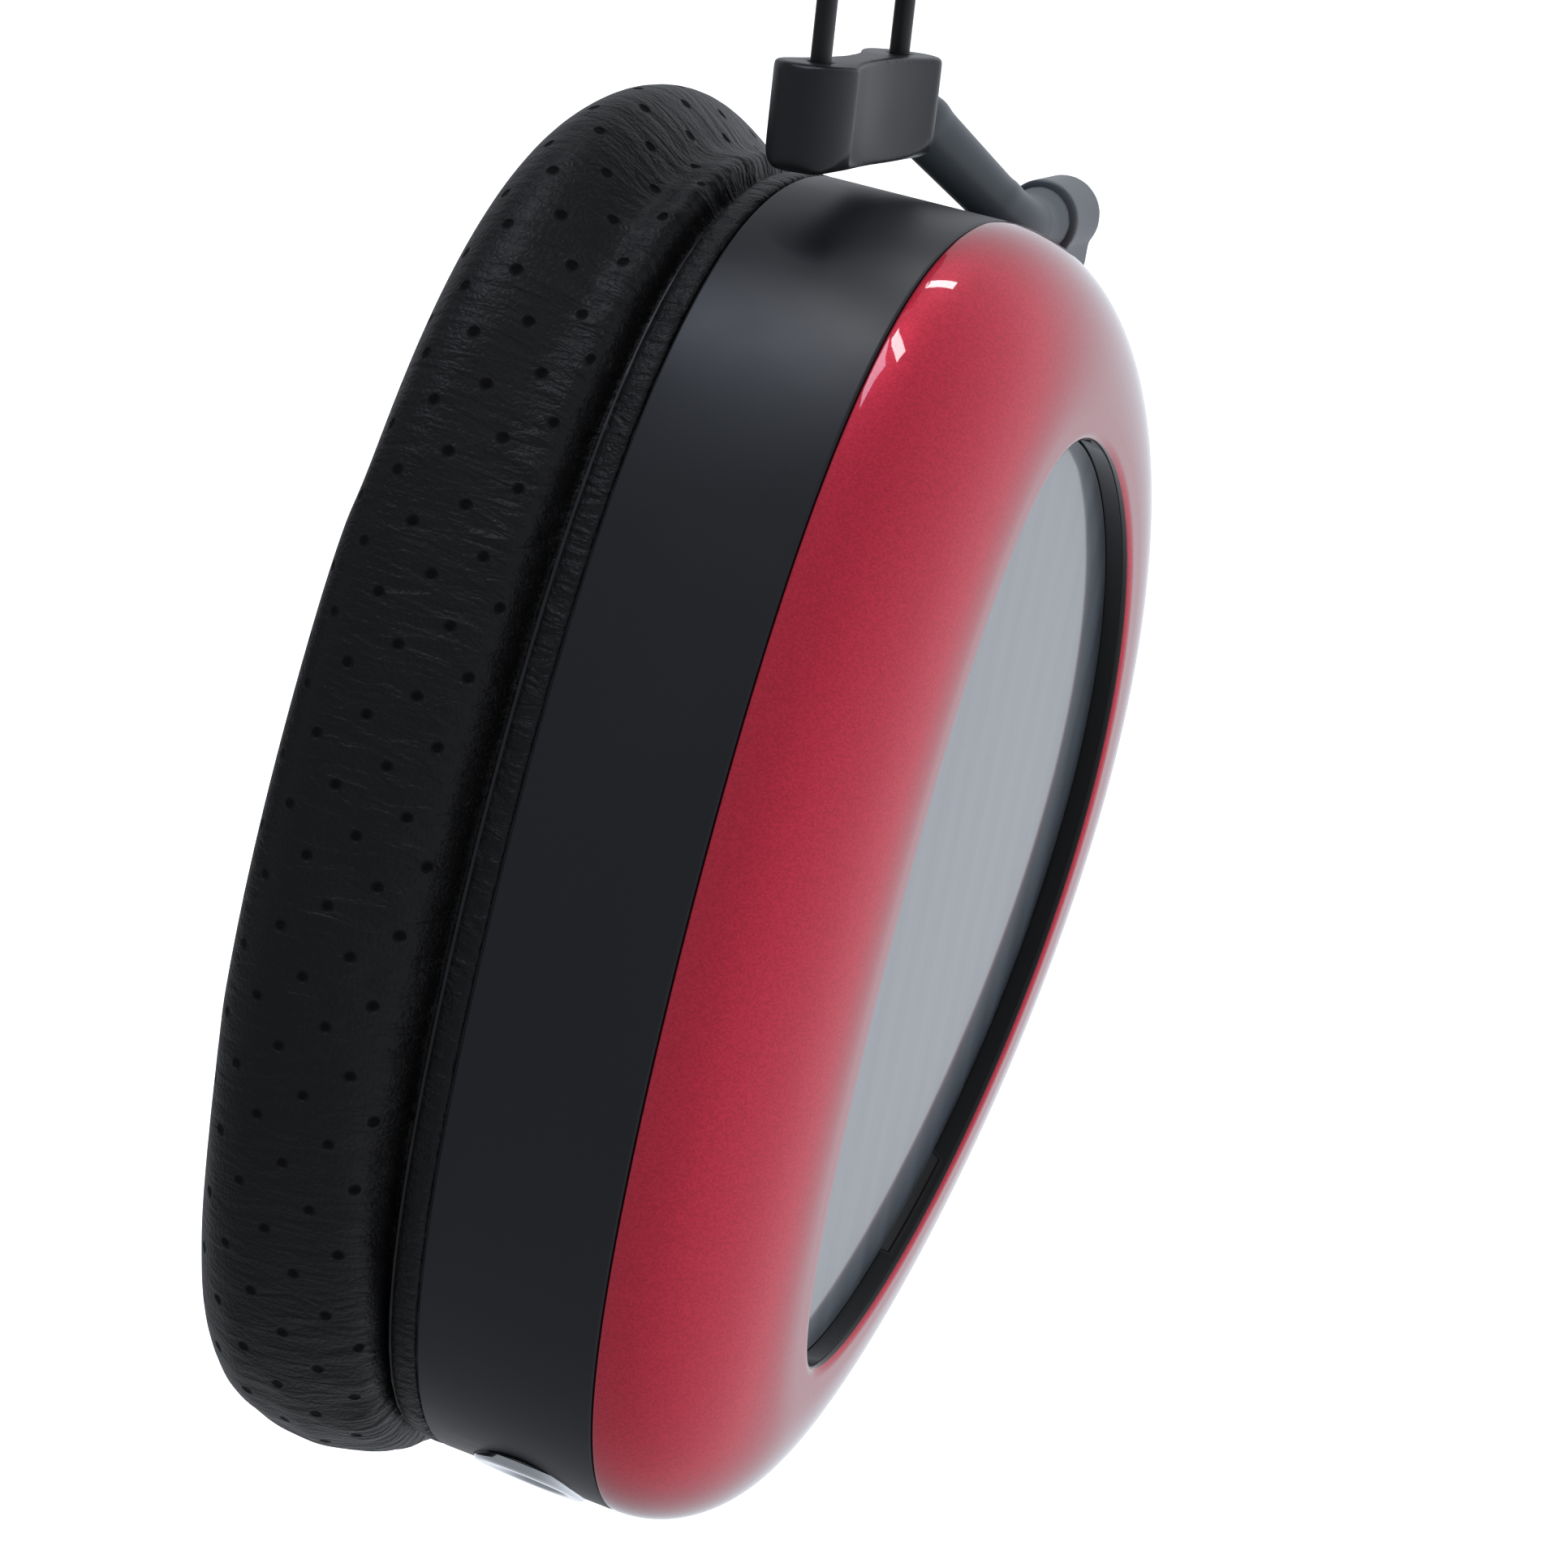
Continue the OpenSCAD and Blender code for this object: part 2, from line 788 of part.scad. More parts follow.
module stator(w0) {
    difference() {
        egg_plate(carrier_in, w0, w0 + stator_t);
        magnet_rows(w0 - 1, w0 + stator_t + 1, 2.6, [-1.5:1:1.5], carrier_in + 4);
    }
}

module stators() {
    color("#7c8086")
        in_cup() {
            stator(carrier_w0);
            stator(carrier_w0 + carrier_t - stator_t);
        }
}

module magnets() {
    front = carrier_w0 + stator_t;
    rear = carrier_w0 + carrier_t - stator_t - magnet_t;
    color("#55585e")
        in_cup()
            for (w = [front, rear])
                magnet_rows(w, w + magnet_t, magnet_w, [-2:1:2], carrier_in + 1);
}

module diaphragm() {
    middle = carrier_w0 + carrier_t / 2;
    color("#c9b27a")
        in_cup()
            egg_plate(carrier_in, middle - diaphragm_t / 2, middle + diaphragm_t / 2);
}

module damping_felt() {
    color("#4a4a48")
        in_cup()
            egg_plate(7, frame_depth + 0.5, frame_depth + 4.5);
}

// The socket's parts share the line of its bore, with z pointing out of the mouth
module at_socket() {
    at_outline(socket_angle, socket_w, 0.6)
        children();
}

module socket_ring() {
    color("#d6d8db")
        in_cup()
            at_socket()
                difference() {
                    union() {
                        cylinder(r = socket_ring_r, h = socket_ring_t);
                        translate([0, 0, -socket_body_l])
                            cylinder(r = socket_barrel_r, h = socket_body_l + 0.1);
                    }
                    translate([0, 0, -1 - socket_depth])
                        cylinder(d = socket_bore_d, h = socket_depth + 4);
                    translate([0, 0, -socket_body_l - 1])
                        cylinder(r = insulator_r, h = socket_body_l + 1 + insulator_top);
                }
}

module contact_places() {
    for (i = [0:3])
        rotate([0, 0, 45 + 90 * i])
            translate([contact_circle_r, 0, 0])
                children();
}

module socket_insulator() {
    color("#232427")
        in_cup()
            at_socket()
                difference() {
                    translate([0, 0, -socket_body_l])
                        cylinder(r = insulator_r, h = insulator_top + socket_body_l);
                    translate([0, 0, -socket_body_l - 1])
                        contact_places()
                            cylinder(r = contact_r, h = socket_body_l + 2);
                }
}

module socket_contacts() {
    color("#cfae5b")
        in_cup()
            at_socket()
                contact_places()
                    difference() {
                        translate([0, 0, -socket_body_l - 1.5])
                            cylinder(r = contact_r, h = insulator_top + socket_body_l + 1.3);
                        translate([0, 0, insulator_top - 2.4])
                            cylinder(r = 0.35, h = 4);
                    }
}

// Two leads run from the socket's contacts, along the frame's floor, to the carrier's rim
module driver_leads() {
    color("#7a1f22")
        in_cup()
            for (i = [0, 1])
                lead(250 + i * 5, 11.3 + i * 1.6);
}

// A lead that follows the outline inside the frame: a swept eight-sided tube
module lead(a0, w) {
    sides = 8;
    steps = 16;
    turn = 54;
    points = [for (j = [0:steps], k = [0:sides - 1])
        let (
            a = a0 + turn * j / steps,
            d = 11.4 + 0.5 * sin(180 * j / steps) + lead_r * cos(360 * k / sides),
            e = egg(a, d))
        [w + lead_r * sin(360 * k / sides), e[0], e[1]]];
    skin = [for (j = [0:steps - 1], k = [0:sides - 1])
        let (k2 = (k + 1) % sides)
        each [[j * sides + k, (j + 1) * sides + k, (j + 1) * sides + k2],
            [j * sides + k, (j + 1) * sides + k2, j * sides + k2]]];
    ends = [[for (k = [0:sides - 1]) k], [for (k = [sides - 1:-1:0]) steps * sides + k]];
    polyhedron(points, concat(skin, ends));
}

headband_strap();
wire(-wire_gap / 2);  // wire_front
wire(wire_gap / 2);  // wire_rear
on_side(1) strap_slider();  // left_strap_slider
on_side(-1) strap_slider();  // right_strap_slider
on_side(1) slider_screws();  // left_slider_screws
on_side(-1) slider_screws();  // right_slider_screws
on_side(1) end_block();  // left_end_block
on_side(-1) end_block();  // right_end_block
on_side(1) grub_screws();  // left_grub_screws
on_side(-1) grub_screws();  // right_grub_screws
on_side(1) swivel_pin();  // left_swivel_pin
on_side(-1) swivel_pin();  // right_swivel_pin
on_side(1) yoke_arm();  // left_yoke_arm
on_side(-1) yoke_arm();  // right_yoke_arm
on_side(1) pivot_screw();  // left_pivot_screw
on_side(-1) pivot_screw();  // right_pivot_screw
on_side(1) pivot_bracket();  // left_pivot_bracket
on_side(-1) pivot_bracket();  // right_pivot_bracket
on_side(1) bracket_screws();  // left_bracket_screws
on_side(-1) bracket_screws();  // right_bracket_screws
on_side(1) cup_frame();  // left_cup_frame
on_side(-1) cup_frame();  // right_cup_frame
on_side(1) baffle();  // left_baffle
on_side(-1) baffle();  // right_baffle
on_side(1) baffle_screws();  // left_baffle_screws
on_side(-1) baffle_screws();  // right_baffle_screws
on_side(1) pad_ring();  // left_pad_ring
on_side(-1) pad_ring();  // right_pad_ring
on_side(1) ear_pad();  // left_ear_pad
on_side(-1) ear_pad();  // right_ear_pad
on_side(1) dust_cloth();  // left_dust_cloth
on_side(-1) dust_cloth();  // right_dust_cloth
on_side(1) outer_cover();  // left_outer_cover
on_side(-1) outer_cover();  // right_outer_cover
on_side(1) inlay_panel();  // left_inlay_panel
on_side(-1) inlay_panel();  // right_inlay_panel
on_side(1) driver_carrier();  // left_driver_carrier
on_side(-1) driver_carrier();  // right_driver_carrier
on_side(1) driver_gasket();  // left_driver_gasket
on_side(-1) driver_gasket();  // right_driver_gasket
on_side(1) driver_screws();  // left_driver_screws
on_side(-1) driver_screws();  // right_driver_screws
on_side(1) stators();  // left_stators
on_side(-1) stators();  // right_stators
on_side(1) magnets();  // left_magnets
on_side(-1) magnets();  // right_magnets
on_side(1) diaphragm();  // left_diaphragm
on_side(-1) diaphragm();  // right_diaphragm
on_side(1) damping_felt();  // left_damping_felt
on_side(-1) damping_felt();  // right_damping_felt
on_side(1) socket_ring();  // left_socket_ring
on_side(-1) socket_ring();  // right_socket_ring
on_side(1) socket_insulator();  // left_socket_insulator
on_side(-1) socket_insulator();  // right_socket_insulator
on_side(1) socket_contacts();  // left_socket_contacts
on_side(-1) socket_contacts();  // right_socket_contacts
on_side(1) driver_leads();  // left_driver_leads
on_side(-1) driver_leads();  // right_driver_leads
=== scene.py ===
"""Over-ear headphones: the visible surfaces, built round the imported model.

Lengths of the pieces are in millimetres and are turned to metres by MM or by CUP; the stage is
in metres. The cup's own axes are out (away from the head), back and up. What is made for the left
is mirrored for the right.
"""

import math

import bpy
from mathutils import Matrix, Vector, noise


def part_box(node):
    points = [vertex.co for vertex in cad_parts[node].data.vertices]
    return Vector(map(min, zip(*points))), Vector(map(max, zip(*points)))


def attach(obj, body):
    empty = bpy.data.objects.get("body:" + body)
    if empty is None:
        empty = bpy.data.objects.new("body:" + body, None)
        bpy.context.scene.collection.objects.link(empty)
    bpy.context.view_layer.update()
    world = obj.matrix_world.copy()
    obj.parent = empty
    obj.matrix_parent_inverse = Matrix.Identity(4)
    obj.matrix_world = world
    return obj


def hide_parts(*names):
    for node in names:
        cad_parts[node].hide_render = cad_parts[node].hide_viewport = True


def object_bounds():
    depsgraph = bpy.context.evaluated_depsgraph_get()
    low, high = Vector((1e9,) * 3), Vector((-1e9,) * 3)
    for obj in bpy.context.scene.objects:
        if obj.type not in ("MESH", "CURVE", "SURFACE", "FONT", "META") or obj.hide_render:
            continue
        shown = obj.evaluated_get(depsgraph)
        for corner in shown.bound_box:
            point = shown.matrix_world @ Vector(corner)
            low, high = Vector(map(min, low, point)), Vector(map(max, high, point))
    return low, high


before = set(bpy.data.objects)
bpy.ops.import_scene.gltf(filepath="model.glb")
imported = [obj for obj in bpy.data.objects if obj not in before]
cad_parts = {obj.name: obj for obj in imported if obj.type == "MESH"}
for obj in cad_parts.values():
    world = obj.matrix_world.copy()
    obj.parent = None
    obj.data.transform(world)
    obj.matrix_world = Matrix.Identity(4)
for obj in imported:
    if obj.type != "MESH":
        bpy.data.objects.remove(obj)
cad_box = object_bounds()

MM = 0.001

# The cup's outline and the depths of its stack, as in the part's own design
HALF_W = 41.6
HALF_H = 56.0
TOP_RISE = 0.5
TIP_LEAN = 0.167
BOW = 12.0
OFFSET_LIMIT = 12.0
FRAME_DEPTH = 16.55
FRAME_WALL = 2.5
COVER_RISE = 12.0
SHOULDER_W = 14.0
INLAY_INSET = 16.2
INLAY_SINK = 2.3
INLAY_T = 0.8
PAD_SEAT = 19.0
CUP_PLACE = (84.0, -6.0, -128.0)
CUP_LEAN = 4.6
CREST = FRAME_DEPTH + COVER_RISE
RECESS_FLOOR = CREST - INLAY_SINK - INLAY_T
CUP = (Matrix.Translation(Vector(CUP_PLACE) * MM) @ Matrix.Rotation(math.radians(CUP_LEAN), 4, "Y")
       @ Matrix.Scale(MM, 4))

# The headband
WIRE_R = 0.875
WIRE_GAP = 17.4
BAND_HALF = 93.4
SHOULDER_R = 50.0
CROWN_R = 200.0
STRAIGHT_TOP = -20.0
WIRE_LOW = -64.45
STRAP_R = 112.0
STRAP_T = 3.2
STRAP_W = 38.0
STRAP_END_W = 20.0
STITCH_INSET = 2.6

# The cable socket: its angle round the outline, its place across the frame and its depth
SOCKET_ANGLE = 250.0
SOCKET_OUT = 8.8
SOCKET_INSET = 0.6
SOCKET_RING_R = 5.2
SOCKET_RING_T = 0.9
SOCKET_BARREL_R = 4.6
SOCKET_BORE_R = 3.5
SOCKET_DEPTH = 5.0
SOCKET_FOOT = -8.2

OUTLINE_STEPS = 192
SIDES = ("left", "right")


# ---------------------------------------------------------------- camera

def make_camera():
    """A long lens, a little above the left cup and looking down at it from its front."""
    aim = Vector((96.2, -6.0, -122.07)) * MM
    distance = 318.2 * MM
    azimuth, elevation, roll = math.radians(21.5), math.radians(16.22), math.radians(6.43)
    back = Vector((math.sin(azimuth) * math.cos(elevation), -math.cos(azimuth) * math.cos(elevation),
                   math.sin(elevation)))
    turn = back.to_track_quat("Z", "Y").to_matrix().to_4x4() @ Matrix.Rotation(roll, 4, "Z")
    bpy.ops.object.camera_add()
    camera = bpy.context.object
    camera.matrix_world = Matrix.Translation(aim + back * distance) @ turn
    camera.data.lens = 85.08
    camera.data.sensor_width = 36
    camera.data.clip_start = 0.01
    bpy.context.scene.camera = camera


# ---------------------------------------------------------------- mesh helpers

def deselect():
    if bpy.context.object and bpy.context.object.mode != "OBJECT":
        bpy.ops.object.mode_set(mode="OBJECT")
    bpy.ops.object.select_all(action="DESELECT")


def choose(*pieces):
    """Selects these objects alone; the last is the active one."""
    deselect()
    for piece in pieces:
        piece.select_set(True)
    bpy.context.view_layer.objects.active = pieces[-1]


def apply_modifiers(piece):
    choose(piece)
    for modifier in list(piece.modifiers):
        bpy.ops.object.modifier_apply(modifier=modifier.name)


def tidy_mesh(piece, fill=False):
    """Joins doubled points, closes open ends if asked, and turns every face outwards."""
    choose(piece)
    bpy.ops.object.mode_set(mode="EDIT")
    bpy.ops.mesh.select_all(action="SELECT")
    bpy.ops.mesh.remove_doubles(threshold=2e-6)
    if fill:
        bpy.ops.mesh.fill_holes(sides=0)
        bpy.ops.mesh.select_all(action="SELECT")
    bpy.ops.mesh.normals_make_consistent(inside=False)
    bpy.ops.object.mode_set(mode="OBJECT")


def smooth(piece, degrees=40):
    choose(piece)
    bpy.ops.object.shade_smooth_by_angle(angle=math.radians(degrees))


def wrapped(name, columns, rows, place, fill=False, uv_size=None):
    """A grid bent into a shape: place(u, v) says where each point goes, u and v from 0 to 1.
    Its edges join where they meet. uv_size(u, v) gives the pattern's own coordinates."""
    deselect()
    bpy.ops.mesh.primitive_grid_add(x_subdivisions=columns, y_subdivisions=rows, size=2)
    piece = bpy.context.object
    piece.name = piece.data.name = name
    if uv_size:
        for entry in piece.data.uv_layers[0].data:
            entry.uv = uv_size(*entry.uv)
    for vertex in piece.data.vertices:
        vertex.co = place((vertex.co.x + 1) / 2, (vertex.co.y + 1) / 2)
    tidy_mesh(piece, fill)
    return piece


def turned(name, profile, axes, segments=48):
    """A lathe-turned piece: profile is a list of (radius, height) along the z of axes."""
    def place(u, v):
        radius, height = profile[round(v * (len(profile) - 1))]
        angle = 2 * math.pi * u
        return axes @ Vector((radius * math.cos(angle), radius * math.sin(angle), height))
    piece = wrapped(name, segments, len(profile) - 1, place)
    smooth(piece)
    return piece


def copied(name, node):
    """A copy of a CAD node's mesh, merged, as a start for a finer piece."""
    deselect()
    piece = bpy.data.objects.new(name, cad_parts[node].data.copy())
    piece.data.name = name
    bpy.context.scene.collection.objects.link(piece)
    piece.data.materials.clear()
    tidy_mesh(piece)
    return piece


def softened(name, node, voxel, rounds):
    """A copy of a cast or machined node with its edges eased, as blasting and paint leave them."""
    piece = copied(name, node)
    remesh = piece.modifiers.new("remesh", "REMESH")
    remesh.mode = "VOXEL"
    remesh.voxel_size = voxel * MM
    ease = piece.modifiers.new("ease", "SMOOTH")
    ease.factor = 0.5
    ease.iterations = rounds
    apply_modifiers(piece)
    smooth(piece, 60)
    return piece


def mirrored(piece, name):
    """The right side's copy, with its own mesh."""
    deselect()
    twin = piece.copy()
    twin.data = piece.data.copy()
    twin.name = twin.data.name = name
    bpy.context.scene.collection.objects.link(twin)
    twin.data.transform(Matrix.Scale(-1, 4, (1, 0, 0)))
    twin.data.flip_normals()
    return twin


def joined(pieces, name):
    choose(*pieces)
    bpy.ops.object.join()
    whole = bpy.context.object
    whole.name = whole.data.name = name
    return whole


# ---------------------------------------------------------------- the cup's outline

def egg_offset(angle, inset):
    """Back and up of the outline at an angle, moved inwards by inset along its normal."""
    a = math.radians(angle)
    # All that follows the outline stands a little proud of the design over the cup's crown
    rise = TOP_RISE * max(0.0, math.sin(a))
    tall = HALF_H + rise
    slope_z = (tall + rise) * math.cos(a)
    slope_y = -HALF_W * math.sin(a) + TIP_LEAN * slope_z - 2 * BOW * math.cos(a) * math.sin(a)
    length = math.hypot(slope_y, slope_z)
    back = HALF_W * math.cos(a) + TIP_LEAN * tall * math.sin(a) + BOW * math.cos(a) ** 2
    return back - inset * slope_z / length, tall * math.sin(a) + inset * slope_y / length


def egg(angle, inset=0.0):
    """The same at any inset: past OFFSET_LIMIT the shape shrinks about its middle."""
    if inset <= OFFSET_LIMIT:
        return egg_offset(angle, inset)
    back, up = egg_offset(angle, OFFSET_LIMIT)
    return (BOW + (back - BOW) * (HALF_W - inset) / (HALF_W - OFFSET_LIMIT),
            up * (HALF_H - inset) / (HALF_H - OFFSET_LIMIT))


def on_cup(angle, inset, out):
    back, up = egg(angle, inset)
    return CUP @ Vector((out, back, up))


def outline_normal(angle):
    outer, inner = egg(angle), egg(angle, 1)
    return math.atan2(outer[1] - inner[1], outer[0] - inner[0])


def outline_axes(angle, out, inset):
    """Axes at a place on the outline, with z along its outward normal."""
    back, up = egg(angle, inset)
    return (CUP @ Matrix.Translation((out, back, up))
            @ Matrix.Rotation(outline_normal(angle) - math.pi / 2, 4, "X"))


def around(name, section, fill=False, uv_size=None):
    """A skin swept round the outline: section is a list of (inset, out)."""
    def place(u, v):
        inset, out = section[round(v * (len(section) - 1))]
        return on_cup(360 * u, inset, out)
    return wrapped(name, OUTLINE_STEPS, len(section) - 1, place, fill, uv_size)


def arc_points(centre, radii, start, end, steps):
    """Points on a quarter or so of an ellipse, in degrees from the first axis."""
    points = []
    for i in range(steps + 1):
        a = math.radians(start + (end - start) * i / steps)
        points.append((centre[0] + radii[0] * math.cos(a), centre[1] + radii[1] * math.sin(a)))
    return points


# ---------------------------------------------------------------- cup shells

def make_outer_cover():
    """The moulded cover: a deep rounded shoulder that rolls over a small lip into the recess."""
    foot_r, lip_r, seat = 0.25, 0.9, 1.6
    foot = FRAME_DEPTH + 0.06
    # The spigot sits inside the frame's wall; the opening behind the inlay has a rim of its own
    spigot_inset, spigot_out = FRAME_WALL + 0.1, FRAME_DEPTH - 1.95
    rim_inset, rim_out = INLAY_INSET + 3.6, RECESS_FLOOR - 1.4
    floor = RECESS_FLOOR - 0.02
    section = [(rim_inset, rim_out), (4.2, spigot_out), (spigot_inset, spigot_out),
               (spigot_inset, foot), (foot_r, foot)]
    section += arc_points((foot_r, foot + foot_r), (foot_r, foot_r), 270, 180, 4)[1:]
    section += arc_points((SHOULDER_W, foot + foot_r), (-SHOULDER_W, CREST - foot - foot_r),
                          0, 90, 36)[1:]
    section += [(INLAY_INSET - lip_r - 0.5, CREST - 0.02)]
    section += arc_points((INLAY_INSET - lip_r, CREST - lip_r), (lip_r, lip_r), 90, 0, 8)
    lining = len(section) - 4
    section += [(INLAY_INSET, RECESS_FLOOR + 0.1), (INLAY_INSET + 0.2, floor),
                (INLAY_INSET + seat, floor), (rim_inset, floor), (rim_inset, rim_out)]
    rows = len(section) - 1
    # The second pattern coordinate is 1 on the masked lining of the recess
    piece = around("left_cover_shell", section,
                   uv_size=lambda u, v: (u, 1.0 if round(v * rows) >= lining else 0.0))
    smooth(piece, 50)
    return piece


def make_inlay():
    """The inlay: a flat panel with a fine rounded edge, seated in the cover's recess."""
    edge, face = 0.12, RECESS_FLOOR + INLAY_T
    rim = INLAY_INSET + 0.06
    rings = [(rim, RECESS_FLOOR), (rim, face - edge)]
    rings += arc_points((rim + edge, face - edge), (-edge, edge), 0, 90, 3)[1:]
    rings += [(INLAY_INSET + 2, face), (INLAY_INSET + 8, face)]
    piece = around("left_inlay_face", rings, fill=True)
    smooth(piece)
    return piece


def make_cup_frame():
    """The metal frame: a straight wall round the cup with eased rims, bored for the socket. The
    baffle is screwed to a ledge inside it."""
    ease, ledge_low, ledge_high, ledge_inset = 0.3, 2.4, 4.4, 8.0
    section = arc_points((ease, ease), (-ease, -ease), 90, 0, 4)
    section += arc_points((ease, FRAME_DEPTH - ease), (-ease, ease), 0, 90, 4)
    section += [(FRAME_WALL, FRAME_DEPTH), (FRAME_WALL, ledge_high), (ledge_inset, ledge_high),
                (ledge_inset, ledge_low), (FRAME_WALL, ledge_low), (FRAME_WALL, 0.0), (ease, 0.0)]
    piece = around("left_frame_wall", section)
    cutters = []
    clearance, deep, high = 0.05, -9.0, 4.0
    for radius, low in ((SOCKET_RING_R + clearance, -clearance), (SOCKET_BARREL_R + clearance, deep)):
        profile = [(0, low), (radius, low), (radius, high), (0, high)]
        cutters.append(turned("socket_cutter", profile,
                              outline_axes(SOCKET_ANGLE, SOCKET_OUT, SOCKET_INSET)))
    for cutter in cutters:
        cut = piece.modifiers.new("bore", "BOOLEAN")
        cut.operation = "DIFFERENCE"
        cut.solver = "EXACT"
        cut.object = cutter
    apply_modifiers(piece)
    for cutter in cutters:
        bpy.data.objects.remove(cutter)
    smooth(piece, 35)
    return piece


# ---------------------------------------------------------------- ear pad

# The pad's section as (inset, out): flat lip, deep groove, slanting belly, crown, inner wall
PAD_SECTION = [(0.35, -0.06), (0.1, -0.5), (0.05, -1.6), (0.15, -2.6), (1.4, -3.1), (2.3, -3.6),
               (1.1, -4.1), (-1.2, -4.8), (-2.5, -6.8), (-3.6, -10.4), (-4.4, -14.0), (-4.1, -17.2),
               (-1.8, -20.0), (2.6, -21.6), (8.0, -22.1), (13.4, -21.7), (17.0, -19.8), (18.9, -16.0),
               (19.5, -11.0), (19.2, -6.0), (18.9, -2.4), (18.4, -0.5), (10.0, -0.06)]
PAD_LIP = 3.0
PAD_SAG = 0.8
PAD_TAPER = 0.055
PAD_HALF_H = 58.0
PAD_ROWS = 72
PAD_COLUMNS = 240
HOLE_PITCH = 4.3
HOLES_FROM = 9.5
HOLES_TO = 50.0

# The cloth simulation of its cover: what is held, and how much of its move the leather keeps
HELD_FROM = -4.0
KEPT_AT_TOP = 0.25
PUFF_MOST = 1.2
PUFF_PRESSURE = 4.0
PUFF_FRAMES = 20


def smooth_loop(points, share):
    """A point on the closed smooth curve through these points."""
    place = (share % 1.0) * len(points)
    i, t = int(place), place % 1.0
    a, b, c, d = (points[(i + k - 1) % len(points)] for k in range(4))
    return tuple(0.5 * (2 * b[n] + (c[n] - a[n]) * t + (2 * a[n] - 5 * b[n] + 4 * c[n] - d[n]) * t * t
                        + (3 * b[n] - a[n] - 3 * c[n] + d[n]) * t ** 3) for n in (0, 1))


def running_lengths(points):
    lengths = [0.0]
    for a, b in zip(points, points[1:]):
        lengths.append(lengths[-1] + math.dist(a, b))
    return lengths


def even_loop(points, count):
    """The smooth closed curve cut into equal steps."""
    fine = [smooth_loop(points, i / 800) for i in range(801)]
    lengths = running_lengths(fine)
    steps = []
    j = 0
    for i in range(count + 1):
        wanted = lengths[-1] * i / count
        while j < len(lengths) - 2 and lengths[j + 1] < wanted:
            j += 1
        t = (wanted - lengths[j]) / (lengths[j + 1] - lengths[j])
        steps.append(tuple(fine[j][n] + (fine[j + 1][n] - fine[j][n]) * t for n in (0, 1)))
    return steps, lengths[-1]


def puff(piece, held, kept, most, pressure):
    """Blows the leather up like a filled cover, by PUFF_FRAMES of cloth simulation. held(i) says
    whether point i is pinned, most is the furthest that any point goes, and kept(i) is the share
    of that which point i keeps."""
    before = [v.co.copy() for v in piece.data.vertices]
    group = piece.vertex_groups.new(name="held")
    group.add([v.index for v in piece.data.vertices if held(v.index)], 1.0, "REPLACE")
    cloth = piece.modifiers.new("cloth", "CLOTH")
    settings = cloth.settings
    settings.quality = 5
    settings.mass = 0.25
    settings.use_pressure = True
    settings.uniform_pressure_force = pressure
    settings.effector_weights.gravity = 0
    settings.vertex_group_mass = "held"
    settings.pin_stiffness = 1
    settings.tension_stiffness = 12
    settings.compression_stiffness = 12
    settings.shear_stiffness = 4
    settings.bending_stiffness = 0.02
    settings.shrink_min = -0.05
    cloth.collision_settings.use_collision = False
    cloth.collision_settings.use_self_collision = False
    cloth.point_cache.frame_start = 1
    cloth.point_cache.frame_end = PUFF_FRAMES
    scene = bpy.context.scene
    for step in range(1, PUFF_FRAMES + 1):
        scene.frame_set(step)
    apply_modifiers(piece)
    scene.frame_set(1)
    for vertex, start in zip(piece.data.vertices, before):
        moved = vertex.co - start
        share = kept(vertex.index)
        if moved.length > most:
            share *= most / moved.length
        vertex.co = start + moved * share
    piece.vertex_groups.clear()


def make_ear_pad():
    """The pad: a leather cover over foam, glued along a thin skirt, gathered at its seam."""
    section, section_length = even_loop(PAD_SECTION, PAD_ROWS)
    outline = [egg(360 * i / PAD_COLUMNS, -2.0) for i in range(PAD_COLUMNS + 1)]
    lengths = running_lengths(outline)
    # The slanted lattice of holes repeats every five pitches round the pad
    repeat = 5 * HOLE_PITCH
    stretch = round(lengths[-1] / repeat) * repeat / lengths[-1]

    def place(u, v):
        inset, out = section[round(v * PAD_ROWS)]
        angle = 360 * u
        around_x, around_y = math.cos(math.radians(angle)), math.sin(math.radians(angle))
        # Over the top the belly is drawn in behind the seam, most of all 8 mm from the frame
        outside = min(max(1 - inset / 10, 0), 1)
        past_lip = min(max((-out - PAD_LIP) / 4, 0), 1)
        drawn = max(around_y, 0) ** 2 * outside * past_lip
        inset += drawn * (0.2 + 2.6 * max(0.0, 1 - abs(out + 8) / 6))
        # Gathers pull in where the leather turns into the groove, most of all under the cup
        gather = max(0.0, 1 - abs(out + 6.0) / 3.0) if inset < 10 else 0.0
        wave = noise.noise(Vector((30 * around_x, 30 * around_y, out * 0.12)))
        fold = 0.45 + 0.9 * max(0.0, -around_y - 0.6)
        # The cup's weight drags the pad's seat down below its face, and the pad is deeper there
        share = min(max((-out - PAD_LIP) / 14, 0), 1)
        low = (1 - around_y) / 2
        lift = PAD_SAG * low * share * share * (3 - 2 * share)
        back, up = egg(angle, inset + fold * gather * wave)
        return CUP @ Vector((out * (1 + PAD_TAPER * low), back, up + lift))

    def pattern(u, v):
        return lengths[round(u * PAD_COLUMNS)] * stretch * MM, v * section_length * MM

    piece = wrapped("left_pad_cushion", PAD_COLUMNS, PAD_ROWS, place, uv_size=pattern)
    to_cup = CUP.inverted()
    places = [to_cup @ v.co for v in piece.data.vertices]

    def kept(i):
        # The foam holds its shape over the top; the slack leather under the cup buckles most
        return KEPT_AT_TOP + (1 - KEPT_AT_TOP) * (0.5 - 0.5 * places[i].z / PAD_HALF_H) ** 3

    puff(piece, lambda i: places[i].x > HELD_FROM, kept, PUFF_MOST * MM, PUFF_PRESSURE)
    finer = piece.modifiers.new("finer", "SUBSURF")
    finer.levels = finer.render_levels = 1
    apply_modifiers(piece)
    smooth(piece, 80)
    return piece


